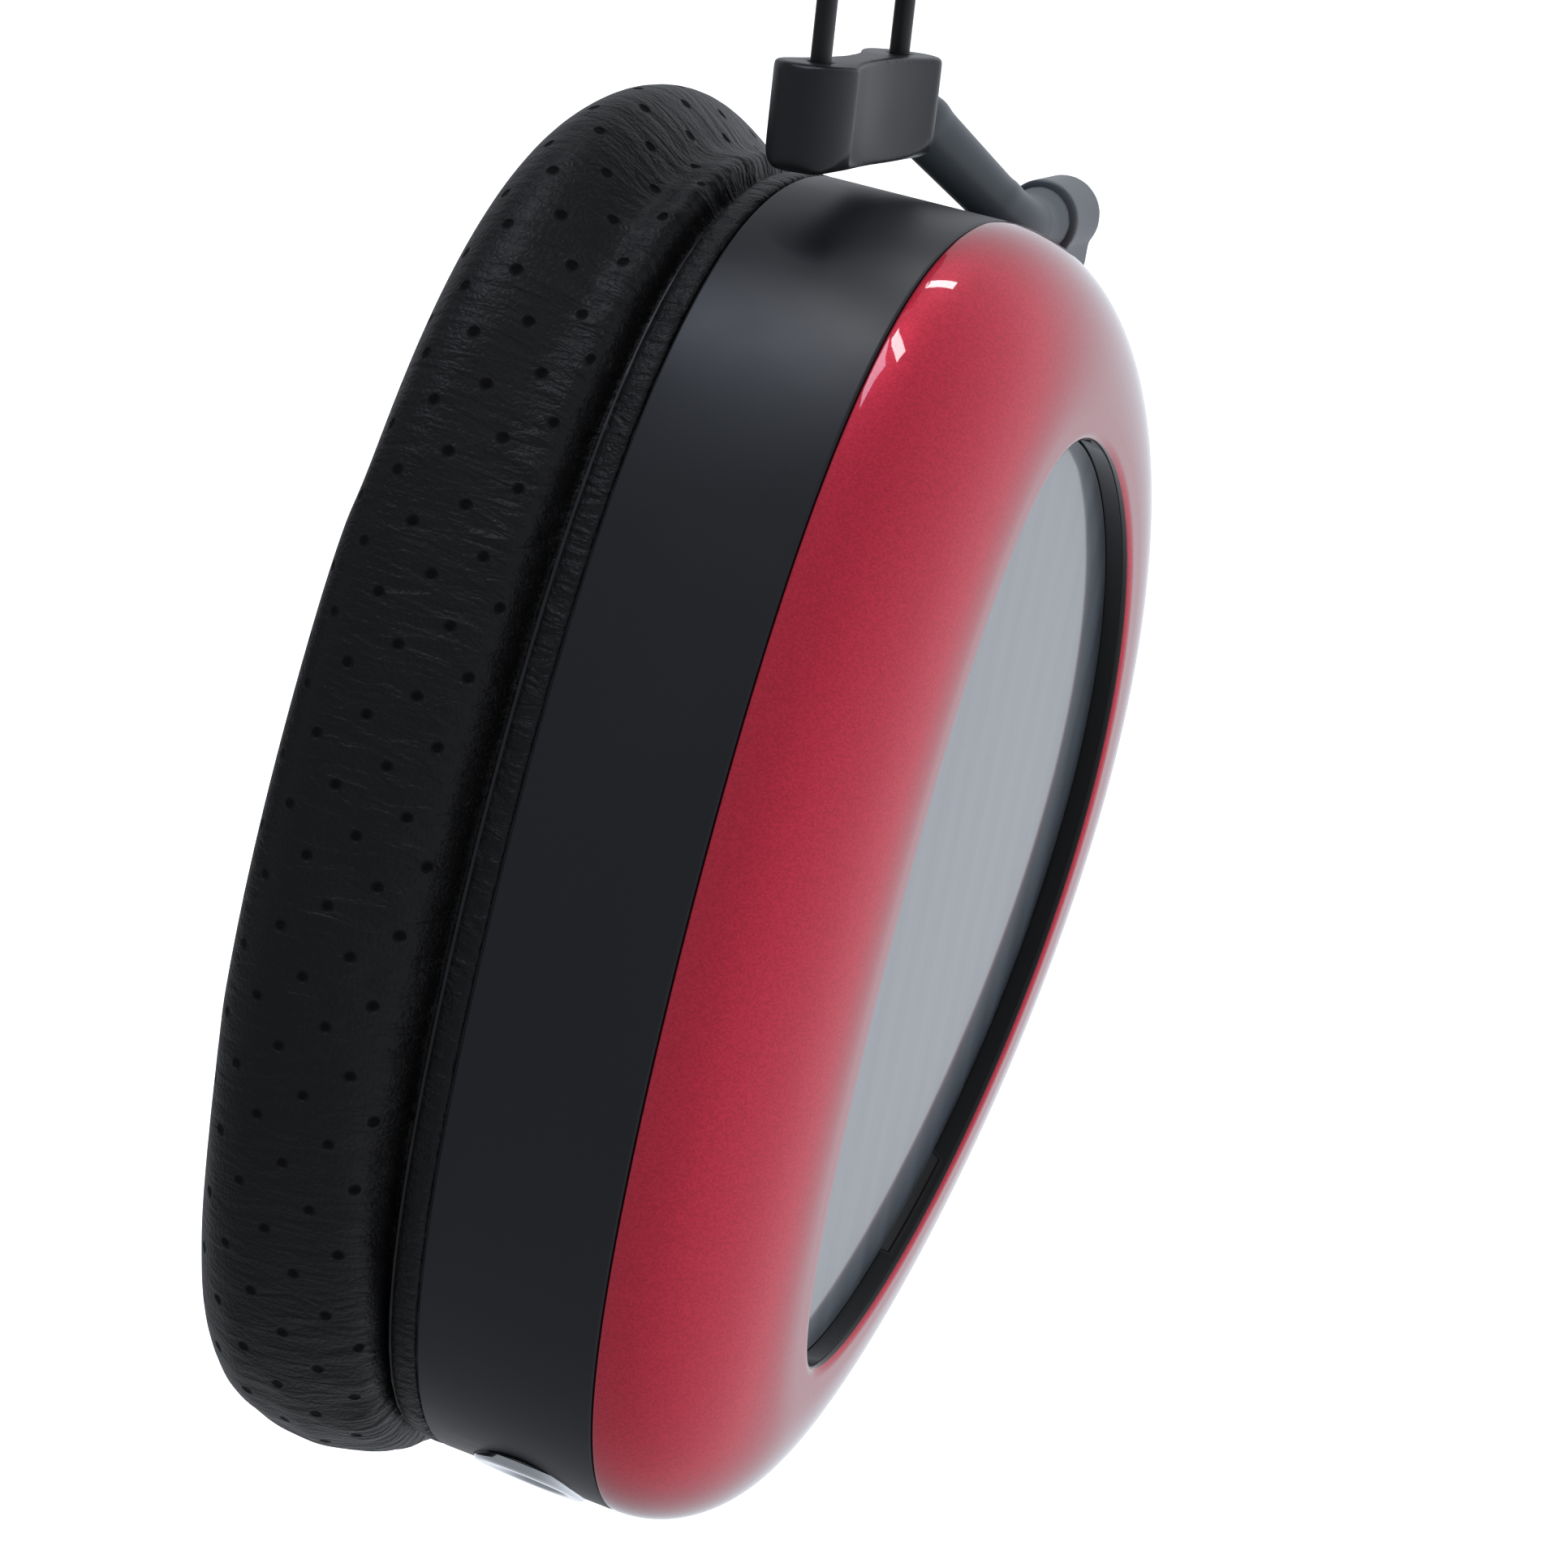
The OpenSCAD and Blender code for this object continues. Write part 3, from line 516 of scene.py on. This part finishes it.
def make_dust_cloth():
    """The knitted cloth behind the pad's opening, stretched flat with a faint dome."""
    edge = PAD_SEAT + 0.15

    def place(u, v):
        share = 0.02 + 0.98 * v
        back, up = egg(360 * u, edge)
        out = -0.45 - 0.9 * (1 - share * share)
        return CUP @ Vector((out, BOW + (back - BOW) * share, up * share))
    piece = wrapped("left_dust_knit", 96, 14, place, fill=True)
    smooth(piece)
    return piece


# ---------------------------------------------------------------- headband

def band_path(share):
    """A point on the wires' line: up one side, over the crown and down the other."""
    shoulder_x = BAND_HALF - SHOULDER_R
    crown_angle = math.asin(shoulder_x / (CROWN_R - SHOULDER_R))
    crown_z = STRAIGHT_TOP - (CROWN_R - SHOULDER_R) * math.cos(crown_angle)
    straight = STRAIGHT_TOP - WIRE_LOW
    bend = SHOULDER_R * (math.pi / 2 - crown_angle)
    half = straight + bend + CROWN_R * crown_angle
    run = 2 * half * min(share, 1 - share)
    if run < straight:
        x, z = BAND_HALF, WIRE_LOW + run
    elif run < straight + bend:
        a = (run - straight) / SHOULDER_R
        x, z = shoulder_x + SHOULDER_R * math.cos(a), STRAIGHT_TOP + SHOULDER_R * math.sin(a)
    else:
        a = math.pi / 2 - crown_angle + (run - straight - bend) / CROWN_R
        x, z = CROWN_R * math.cos(a), crown_z + CROWN_R * math.sin(a)
    return (x if share < 0.5 else -x), z


def make_wire(name, y):
    def place(u, v):
        x, z = band_path(v)
        nearer, further = band_path(max(v - 0.002, 0)), band_path(min(v + 0.002, 1))
        along = Vector((further[0] - nearer[0], 0, further[1] - nearer[1])).normalized()
        across = along.cross(Vector((0, 1, 0)))
        a = 2 * math.pi * u
        spot = Vector((x, y, z)) + WIRE_R * (across * math.cos(a) + Vector((0, 1, 0)) * math.sin(a))
        return spot * MM
    piece = wrapped(name, 20, 240, place, fill=True)
    smooth(piece)
    return piece


STRAP_HALF_ANGLE = math.asin((BAND_HALF - 4.0) / (STRAP_R + STRAP_T / 2))


def strap_half_width(x):
    """Half the strap's width: full over the head, narrowing evenly to its sliders."""
    wide, narrow = 0.42 * BAND_HALF, 0.8 * BAND_HALF
    share = min(max((abs(x) - wide) / (narrow - wide), 0), 1)
    share = share * share * (3 - 2 * share)
    return STRAP_W / 2 + (STRAP_END_W - STRAP_W) / 2 * share


def on_strap(angle, y, lift):
    """A place on the strap: an angle over its arc, across it, and a height over its underside."""
    radius = STRAP_R + lift
    return Vector((radius * math.sin(angle), y, radius * math.cos(angle) - STRAP_R)) * MM


def make_strap():
    """The strap: two layers of leather over thin foam, crowned between its sewn edges."""
    def place(u, v):
        angle = STRAP_HALF_ANGLE * (2 * v - 1)
        half = strap_half_width(STRAP_R * math.sin(angle)) - 0.05
        a = 2 * math.pi * u
        across = math.copysign(abs(math.cos(a)) ** 0.35, math.cos(a))
        rise = math.copysign(abs(math.sin(a)) ** 0.6, math.sin(a))
        from_edge = half * (1 - abs(across))
        seam = 1 - 0.26 * math.exp(-((from_edge - STITCH_INSET) / 0.7) ** 2)
        edge = min(1.0, (from_edge + 0.75) / 4.2)
        lift = STRAP_T / 2 * (1 + rise * seam * (0.62 + 0.38 * edge))
        return on_strap(angle, half * across, lift)
    piece = wrapped("strap_leather_body", 96, 160, place, fill=True)
    smooth(piece, 60)
    return piece


def make_stitches():
    """Lock stitches along both edges of the strap, on its top and underside."""
    pitch, half_length, half_width, half_height = 3.4, 1.25, 0.28, 0.24
    sunk, sewn_share = 0.42, 0.93
    count = int(2 * STRAP_HALF_ANGLE * STRAP_R * sewn_share / pitch)
    bpy.ops.mesh.primitive_uv_sphere_add(segments=8, ring_count=5, radius=1)
    thread = bpy.context.object
    thread.data.transform(Matrix.Diagonal((half_length, half_width, half_height, 1)))
    made = []
    for i in range(count):
        angle = STRAP_HALF_ANGLE * sewn_share * (2 * (i + 0.5) / count - 1)
        half = strap_half_width(STRAP_R * math.sin(angle)) - STITCH_INSET
        for y in (-half, half):
            for lift in (STRAP_T - sunk, sunk):
                stitch = thread.copy()
                stitch.data = thread.data.copy()
                bpy.context.scene.collection.objects.link(stitch)
                spot = Matrix.Translation(on_strap(angle, y, lift))
                turn = Matrix.Rotation(angle, 4, "Y")
                stitch.data.transform(spot @ turn @ Matrix.Scale(MM, 4))
                made.append(stitch)
    bpy.data.objects.remove(thread)
    piece = joined(made, "strap_stitches")
    smooth(piece)
    return piece


# ---------------------------------------------------------------- socket and pivot cap

def make_socket_ring():
    axes = outline_axes(SOCKET_ANGLE, SOCKET_OUT, SOCKET_INSET)
    top = SOCKET_RING_T
    profile = [(SOCKET_BARREL_R, SOCKET_FOOT), (SOCKET_BARREL_R, 0), (SOCKET_RING_R - 0.1, 0),
               (SOCKET_RING_R, 0.1)]
    profile += arc_points((SOCKET_RING_R - 0.45, top - 0.45), (0.45, 0.45), 0, 90, 6)
    profile += arc_points((SOCKET_BORE_R + 0.35, top - 0.35), (-0.35, 0.35), 90, 0, 6)
    profile += [(SOCKET_BORE_R, top - SOCKET_DEPTH), (SOCKET_BORE_R, SOCKET_FOOT),
                (SOCKET_BARREL_R, SOCKET_FOOT)]
    return turned("left_socket_bezel", profile, axes)


def barrel_axes():
    """The tilt barrel's own axes: z runs back along the barrel, from the rear face of its cap."""
    low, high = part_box("left_pivot_screw")
    centre = (low + high) / 2
    face = Matrix.Translation((centre.x, high.y, centre.z))
    return face @ Matrix.Rotation(-math.pi / 2, 4, "X") @ Matrix.Scale(MM, 4)


def make_pivot_cap():
    """The cap screwed into the barrel's rear end: a low dome with a turned edge."""
    cap_r, foot, rim, dome = 3.0, -1.5, 0.5, 0.2
    profile = [(0, foot), (cap_r, foot), (cap_r, -dome - rim)]
    profile += arc_points((cap_r - rim, -dome - rim), (rim, rim), 0, 90, 6)
    profile += arc_points((0, -dome), (cap_r - rim, dome), 0, 90, 6)[1:]
    return turned("left_pivot_cap", profile, barrel_axes())


# ---------------------------------------------------------------- materials

def linear(hex_colour):
    """An sRGB hex colour as linear red, green, blue and alpha."""
    parts = [int(hex_colour[i:i + 2], 16) / 255 for i in (1, 3, 5)]
    return tuple(c / 12.92 if c <= 0.04045 else ((c + 0.055) / 1.055) ** 2.4 for c in parts) + (1.0,)


def add(tree, kind, sockets=None, **settings):
    """Adds a node with its settings; sockets maps an input to a value or to another node's output."""
    made = tree.nodes.new(kind)
    for key, value in settings.items():
        setattr(made, key, value)
    for key, value in (sockets or {}).items():
        if isinstance(value, bpy.types.NodeSocket):
            tree.links.new(value, made.inputs[key])
        else:
            made.inputs[key].default_value = value
    return made


def begin(name, colour, roughness, metallic=0.0, **more):
    """A material with one Principled shader; more sets its other sockets by name."""
    material = bpy.data.materials.new(name)
    material.use_nodes = True
    tree = material.node_tree
    shader = tree.nodes["Principled BSDF"]
    shader.inputs["Base Color"].default_value = linear(colour)
    shader.inputs["Roughness"].default_value = roughness
    shader.inputs["Metallic"].default_value = metallic
    for key, value in more.items():
        shader.inputs[key.replace("_", " ").title().replace("Ior", "IOR")].default_value = value
    return material, tree, shader


def object_place(tree):
    return add(tree, "ShaderNodeTexCoord").outputs["Object"]


def bump(tree, shader, height, strength, distance_mm, below=None):
    sockets = {"Height": height, "Strength": strength, "Distance": distance_mm * MM}
    if below:
        sockets["Normal"] = below
    node = add(tree, "ShaderNodeBump", sockets)
    tree.links.new(node.outputs["Normal"], shader.inputs["Normal"])
    return node.outputs["Normal"]


def ramp(tree, value, low, high, to_low=0.0, to_high=1.0):
    node = add(tree, "ShaderNodeMapRange", {"Value": value, "From Min": low, "From Max": high,
                                            "To Min": to_low, "To Max": to_high})
    return node.outputs["Result"]


def mix_colour(tree, share, first, second):
    node = add(tree, "ShaderNodeMix", {0: share, 6: first, 7: second}, data_type="RGBA")
    return node.outputs[2]


def painted_metal(name, colour, roughness, grit_mm, strength=0.12):
    """Bead-blasted metal under satin black paint: the fine grit breaks up the sheen, which also
    varies in patches about 11 mm across."""
    material, tree, shader = begin(name, colour, roughness)
    place = object_place(tree)
    grit = add(tree, "ShaderNodeTexNoise", {"Vector": place, "Scale": 1 / (grit_mm * MM), "Detail": 3.0})
    bump(tree, shader, grit.outputs["Fac"], strength, 0.03)
    cloud = add(tree, "ShaderNodeTexNoise", {"Vector": place, "Scale": 0.09 / MM, "Detail": 2.0})
    tree.links.new(ramp(tree, cloud.outputs["Fac"], 0.3, 0.7, roughness - 0.04, roughness + 0.05),
                   shader.inputs["Roughness"])
    return material


def candy_lacquer():
    """Moulded cover sprayed with red metallic under clear lacquer: fine flakes below a deep gloss
    that darkens edge-on, and a black masked lining inside the recess."""
    material, tree, shader = begin("candy_red_lacquer", "#c21a38", 0.40, 0.3, coat_weight=1.0,
                                   coat_roughness=0.03, specular_ior_level=0.1)
    place = object_place(tree)
    # Flakes are about 0.05 mm; drawn at 0.16 mm so that they show
    flakes = add(tree, "ShaderNodeTexVoronoi", {"Vector": place, "Scale": 1 / (0.16 * MM)})
    spread = add(tree, "ShaderNodeSeparateColor", {"Color": flakes.outputs["Color"]})
    tone = mix_colour(tree, spread.outputs["Red"], linear("#bc1f37"), linear("#d22744"))
    # Seen edge-on the light crosses more of the tinted lacquer
    slant = add(tree, "ShaderNodeLayerWeight", {"Blend": 0.5}).outputs["Facing"]
    tone = mix_colour(tree, ramp(tree, slant, 0.45, 0.95, 0.0, 0.85), tone, linear("#3a060e"))
    mask = add(tree, "ShaderNodeSeparateXYZ", {"Vector": add(tree, "ShaderNodeUVMap").outputs["UV"]})
    lining = ramp(tree, mask.outputs["Y"], 0.45, 0.55)
    tree.links.new(mix_colour(tree, lining, tone, linear("#0c0a0b")), shader.inputs["Base Color"])
    tree.links.new(ramp(tree, mask.outputs["Y"], 0.45, 0.55, 0.3, 0.0), shader.inputs["Metallic"])
    bump(tree, shader, spread.outputs["Green"], 0.06, 0.02)
    return material


def resin_inlay():
    """Woven fibre under clear cast resin: broad faint upright bands below a flat gloss."""
    material, tree, shader = begin("resin_fibre_inlay", "#525b64", 0.42, 0.0, coat_weight=1.0,
                                   coat_roughness=0.06)
    place = object_place(tree)
    axes = add(tree, "ShaderNodeSeparateXYZ", {"Vector": place})
    # Bands of the weave are 5 mm apart and run up the cup, with threads about 1 mm across
    across = add(tree, "ShaderNodeMath", {0: axes.outputs["Y"], 1: 2 * math.pi / (5 * MM)},
                 operation="MULTIPLY")
    band = add(tree, "ShaderNodeMath", {0: across.outputs[0]}, operation="SINE")
    stretch = add(tree, "ShaderNodeMapping", {"Vector": place,
                                              "Scale": (0.9 / MM, 0.9 / MM, 0.06 / MM)})
    thread = add(tree, "ShaderNodeTexNoise", {"Vector": stretch.outputs["Vector"], "Scale": 1.0,
                                              "Detail": 2.0})
    share = add(tree, "ShaderNodeMath", {0: band.outputs[0], 1: 0.22, 2: thread.outputs["Fac"]},
                operation="MULTIPLY_ADD")
    tone = mix_colour(tree, ramp(tree, share.outputs[0], 0.1, 0.9), linear("#49525b"), linear("#59636c"))
    tree.links.new(tone, shader.inputs["Base Color"])
    return material


def grained_leather(name, holes):
    """Dyed black leather embossed with a grain of 0.6 mm cells and soft creases 2 mm apart, which
    breaks its sheen into a dull glow. The pad's cover also has punched holes, and creases that
    deepen towards its gathered seam."""
    material, tree, shader = begin(name, "#0d0d0e", 0.50, specular_ior_level=0.3)
    place = object_place(tree)
    grain = add(tree, "ShaderNodeTexVoronoi", {"Vector": place, "Scale": 1 / (0.6 * MM)},
                feature="DISTANCE_TO_EDGE")
    creases = add(tree, "ShaderNodeTexNoise", {"Vector": place, "Scale": 1 / (2 * MM), "Detail": 5.0,
                                               "Distortion": 0.8})
    height = add(tree, "ShaderNodeMath", {0: ramp(tree, grain.outputs["Distance"], 0.0, 0.25),
                                          1: creases.outputs["Fac"]}, operation="ADD")
    normal = bump(tree, shader, height.outputs[0], 0.3, 0.1)
    if holes:
        run = add(tree, "ShaderNodeUVMap").outputs["UV"]
        along = add(tree, "ShaderNodeSeparateXYZ", {"Vector": run}).outputs["Y"]
        # Gathers are 1.1 mm wide and 4.5 mm long, and run from the seam towards the crown
        drawn = add(tree, "ShaderNodeMapping", {"Vector": run,
                                                "Scale": (1 / (1.1 * MM), 1 / (4.5 * MM), 1)})
        lines = add(tree, "ShaderNodeTexNoise", {"Vector": drawn.outputs["Vector"], "Scale": 1.0,
                                                 "Detail": 4.0, "Distortion": 0.7})
        fading = ramp(tree, along, 10 * MM, 24 * MM, 1.0, 0.35)
        depth = add(tree, "ShaderNodeMath", {0: lines.outputs["Fac"], 1: fading}, operation="MULTIPLY")
        normal = bump(tree, shader, depth.outputs[0], 0.9, 0.65, normal)
        slanted = add(tree, "ShaderNodeMapping", {"Vector": run, "Rotation": (0, 0, math.atan2(3, 4))})
        cells = add(tree, "ShaderNodeTexVoronoi", {"Vector": slanted.outputs["Vector"], "Randomness": 0.0,
                                                   "Scale": 1 / (HOLE_PITCH * MM)}, voronoi_dimensions="2D")
        # Holes are 0.9 mm across, on squares of HOLE_PITCH that lie slanted to the seam; those whose
        # middle comes too near a seam are left out
        middle = add(tree, "ShaderNodeVectorMath", {0: cells.outputs["Position"], 1: (-0.6, 0.8, 0)},
                     operation="DOT_PRODUCT").outputs["Value"]
        past_seam = ramp(tree, middle, HOLES_FROM * MM, (HOLES_FROM + 0.01) * MM)
        short_of_end = ramp(tree, middle, HOLES_TO * MM, (HOLES_TO + 0.01) * MM, 1.0, 0.0)
        clear = add(tree, "ShaderNodeMath", {0: past_seam, 1: short_of_end}, operation="MULTIPLY")
        disc = ramp(tree, cells.outputs["Distance"], 0.07, 0.13, 1.0, 0.0)
        inside = add(tree, "ShaderNodeMath", {0: disc, 1: clear.outputs[0]},
                     operation="MULTIPLY").outputs[0]
        # Inside each hole the colour drops to near black: painted shade of the hole's hollow, which the
        # bump alone does not cast
        tone = mix_colour(tree, inside, linear("#0d0d0e"), linear("#010101"))
        tree.links.new(tone, shader.inputs["Base Color"])
        tree.links.new(ramp(tree, inside, 0.0, 1.0, 0.5, 1.0), shader.inputs["Roughness"])
        bump(tree, shader, ramp(tree, inside, 0.0, 1.0, 1.0, 0.0), 1.0, 0.55, normal)
    return material


def knit():
    """Thin polyester knit in front of the driver: rows of loops 0.6 mm apart, drawn at 0.9 mm so
    that they show."""
    material, tree, shader = begin("dust_knit", "#141416", 0.9)
    place = object_place(tree)
    axes = add(tree, "ShaderNodeSeparateXYZ", {"Vector": place})
    waves = []
    for axis in ("Y", "Z"):
        run = add(tree, "ShaderNodeMath", {0: axes.outputs[axis], 1: 2 * math.pi / (0.9 * MM)},
                  operation="MULTIPLY")
        waves.append(add(tree, "ShaderNodeMath", {0: run.outputs[0]}, operation="SINE").outputs[0])
    weave = add(tree, "ShaderNodeMath", {0: waves[0], 1: waves[1]}, operation="MULTIPLY")
    tone = mix_colour(tree, ramp(tree, weave.outputs[0], -1, 1), linear("#08080a"), linear("#2a2a2e"))
    tree.links.new(tone, shader.inputs["Base Color"])
    bump(tree, shader, weave.outputs[0], 0.6, 0.12)
    return material


def plain_metal(name, colour, roughness):
    """Bare or plated metal, with faint marks about 1 mm apart left by turning and polishing."""
    material, tree, shader = begin(name, colour, roughness, 1.0)
    marks = add(tree, "ShaderNodeTexNoise", {"Vector": object_place(tree), "Scale": 0.9 / MM,
                                             "Detail": 3.0})
    bump(tree, shader, marks.outputs["Fac"], 0.05, 0.02)
    return material


def moulding(name, colour, roughness):
    """Plastic from a spark-eroded mould, with a fine texture about 0.5 mm across that dulls its
    sheen. The thread, rubber, felt, film and lead sleeves share it, at their own gloss."""
    material, tree, shader = begin(name, colour, roughness)
    spark = add(tree, "ShaderNodeTexNoise", {"Vector": object_place(tree), "Scale": 2.2 / MM,
                                             "Detail": 3.0})
    bump(tree, shader, spark.outputs["Fac"], 0.2, 0.03)
    return material


def make_materials():
    return {
        "frame": painted_metal("satin_black_frame", "#15181d", 0.42, 0.35),
        "block": painted_metal("satin_black_casting", "#16191c", 0.42, 0.30),
        # The arm, its cap and the bracket share the block's satin black paint; their lighter grey base is
        # painted light, for the sheen they catch from above
        "arm": painted_metal("satin_black_arm", "#4e555a", 0.40, 0.30),
        "wire": painted_metal("black_spring_wire", "#0d0e10", 0.42, 0.40, 0.05),
        "cover": candy_lacquer(),
        "inlay": resin_inlay(),
        "pad": grained_leather("perforated_pad_leather", True),
        "strap": grained_leather("strap_leather", False),
        "knit": knit(),
        "thread": moulding("bonded_thread", "#1b1b1e", 0.6),
        "chrome": plain_metal("polished_chrome", "#dfe2e6", 0.08),
        "steel": plain_metal("zinc_plated_steel", "#8d9299", 0.32),
        "dark_steel": plain_metal("blackened_steel", "#2c2e32", 0.35),
        "brass": plain_metal("gold_flashed_contacts", "#caa559", 0.22),
        "plastic": moulding("black_moulding", "#16171a", 0.5),
        "carrier": moulding("driver_moulding", "#33363b", 0.45),
        "rubber": moulding("gasket_rubber", "#151515", 0.75),
        "felt": moulding("pressed_felt", "#4a4a48", 0.95),
        "film": moulding("driver_film", "#b89a5c", 0.2),
        "sleeve": moulding("lead_sleeve", "#7a1f22", 0.45),
    }


# ---------------------------------------------------------------- assembly

def dress(piece, material, body, slot, *nodes):
    piece.data.materials.clear()
    piece.data.materials.append(material)
    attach(piece, body)
    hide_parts(*nodes)
    return piece


def both_sides(piece, material, body, slot, *ends):
    """Dresses a left piece and its mirrored right twin; ends are node names without their side."""
    stem = piece.name[len("left_"):]
    twin = mirrored(piece, "right_" + stem)
    for side, made in zip(SIDES, (piece, twin)):
        nodes = [f"{side}_{end}" for end in ends]
        dress(made, material, body.replace("SIDE", side), slot, *nodes)
    return piece, twin


CAD_FINISHES = {
    "slider_screws": "steel", "grub_screws": "dark_steel", "swivel_pin": "dark_steel",
    "bracket_screws": "steel", "baffle": "plastic", "baffle_screws": "steel",
    "pad_ring": "plastic", "driver_carrier": "carrier", "driver_gasket": "rubber",
    "driver_screws": "steel", "stators": "steel", "magnets": "steel", "diaphragm": "film",
    "damping_felt": "felt", "socket_insulator": "plastic", "socket_contacts": "brass",
    "driver_leads": "sleeve",
}


def finish_cad_nodes(finishes):
    for side in SIDES:
        for end, finish in CAD_FINISHES.items():
            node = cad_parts[f"{side}_{end}"]
            node.data.materials.clear()
            node.data.materials.append(finishes[finish])


def build():
    finishes = make_materials()
    finish_cad_nodes(finishes)
    for name, y in (("wire_front", -WIRE_GAP / 2), ("wire_rear", WIRE_GAP / 2)):
        dress(make_wire(name + "_drawn", y), finishes["wire"], "headband", "spring_wire", name)
    strap = dress(make_strap(), finishes["strap"], "strap", "strap_leather", "headband_strap")
    stitches = make_stitches()
    stitches.data.materials.append(finishes["thread"])
    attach(stitches, "strap")
    both_sides(softened("left_slider_casting", "left_strap_slider", 0.25, 16), finishes["block"],
               "strap", "block_black", "strap_slider")
    both_sides(softened("left_block_casting", "left_end_block", 0.18, 24), finishes["block"],
               "headband", "block_black", "end_block")
    both_sides(softened("left_arm_forging", "left_yoke_arm", 0.15, 40), finishes["arm"],
               "SIDE_yoke", "arm_black", "yoke_arm")
    both_sides(make_pivot_cap(), finishes["arm"], "SIDE_yoke", "arm_black", "pivot_screw")
    both_sides(softened("left_bracket_casting", "left_pivot_bracket", 0.15, 14), finishes["arm"],
               "SIDE_cup", "arm_black", "pivot_bracket")
    both_sides(make_cup_frame(), finishes["frame"], "SIDE_cup", "frame_black", "cup_frame")
    both_sides(make_outer_cover(), finishes["cover"], "SIDE_cup", "red_lacquer", "outer_cover")
    both_sides(make_inlay(), finishes["inlay"], "SIDE_cup", "inlay_gloss", "inlay_panel")
    both_sides(make_socket_ring(), finishes["chrome"], "SIDE_cup", "socket_chrome", "socket_ring")
    for pad in both_sides(make_ear_pad(), finishes["pad"], "SIDE_cup", "pad_leather", "ear_pad"):
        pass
    cloths = both_sides(make_dust_cloth(), finishes["knit"], "SIDE_cup", "dust_cloth", "dust_cloth")


# ---------------------------------------------------------------- stage

def area_light(name, place, target, size, power, colour="#ffffff", mirrored_in_gloss=True):
    light = bpy.data.lights.new(name, "AREA")
    light.shape = "RECTANGLE"
    light.size, light.size_y = size
    light.energy = power
    light.color = linear(colour)[:3]
    lamp = bpy.data.objects.new(name, light)
    bpy.context.scene.collection.objects.link(lamp)
    lamp.visible_glossy = mirrored_in_gloss
    place, target = Vector(place), Vector(target)
    lamp.matrix_world = (Matrix.Translation(place)
                         @ (place - target).to_track_quat("Z", "Y").to_matrix().to_4x4())


def make_stage():
    """A white floor, a studio that is dim at the front left and bright behind, and soft boxes."""
    deselect()
    bpy.ops.mesh.primitive_plane_add(size=60, location=(0, 0, cad_box[0].z - 0.07))
    floor = bpy.context.object
    floor.name = "floor"
    floor.visible_diffuse = floor.visible_glossy = False
    material, tree, shader = begin("pale_floor", "#f4f4f4", 0.9)
    shader.inputs["Emission Color"].default_value = (1, 1, 1, 1)
    shader.inputs["Emission Strength"].default_value = 0.9
    floor.data.materials.append(material)

    world = bpy.data.worlds.new("studio")
    world.use_nodes = True
    tree = world.node_tree
    aim = add(tree, "ShaderNodeTexCoord").outputs["Generated"]
    bright_way = add(tree, "ShaderNodeVectorMath", {0: aim, 1: (0.45, 0.85, -0.25)},
                     operation="DOT_PRODUCT")
    share = ramp(tree, bright_way.outputs["Value"], -0.9, 0.8)
    glow = add(tree, "ShaderNodeMath", {0: share, 1: share}, operation="MULTIPLY")
    background = tree.nodes["Background"]
    background.inputs["Color"].default_value = linear("#f3f7ff")
    tree.links.new(ramp(tree, glow.outputs[0], 0, 1, 0.30, 1.15), background.inputs["Strength"])
    bpy.context.scene.world = world

    middle = (cad_box[0] + cad_box[1]) / 2
    cup = Vector((0.09, 0, -0.13))
    area_light("key_box", (-0.3, -0.36, 1.0), middle, (0.45, 0.3), 2.7, "#dfe8ff")
    area_light("front_box", (0.75, -0.6, -0.35), cup, (0.9, 0.9), 4.4, mirrored_in_gloss=False)
    area_light("near_lamp", (-0.02, -0.2, 0.9), cup, (0.34, 0.08), 1.3)
    area_light("far_lamp", (0.04, 0.28, 0.86), cup, (0.3, 0.07), 1.0)
    bpy.context.scene.view_settings.view_transform = "Standard"


make_camera()
build()
make_stage()
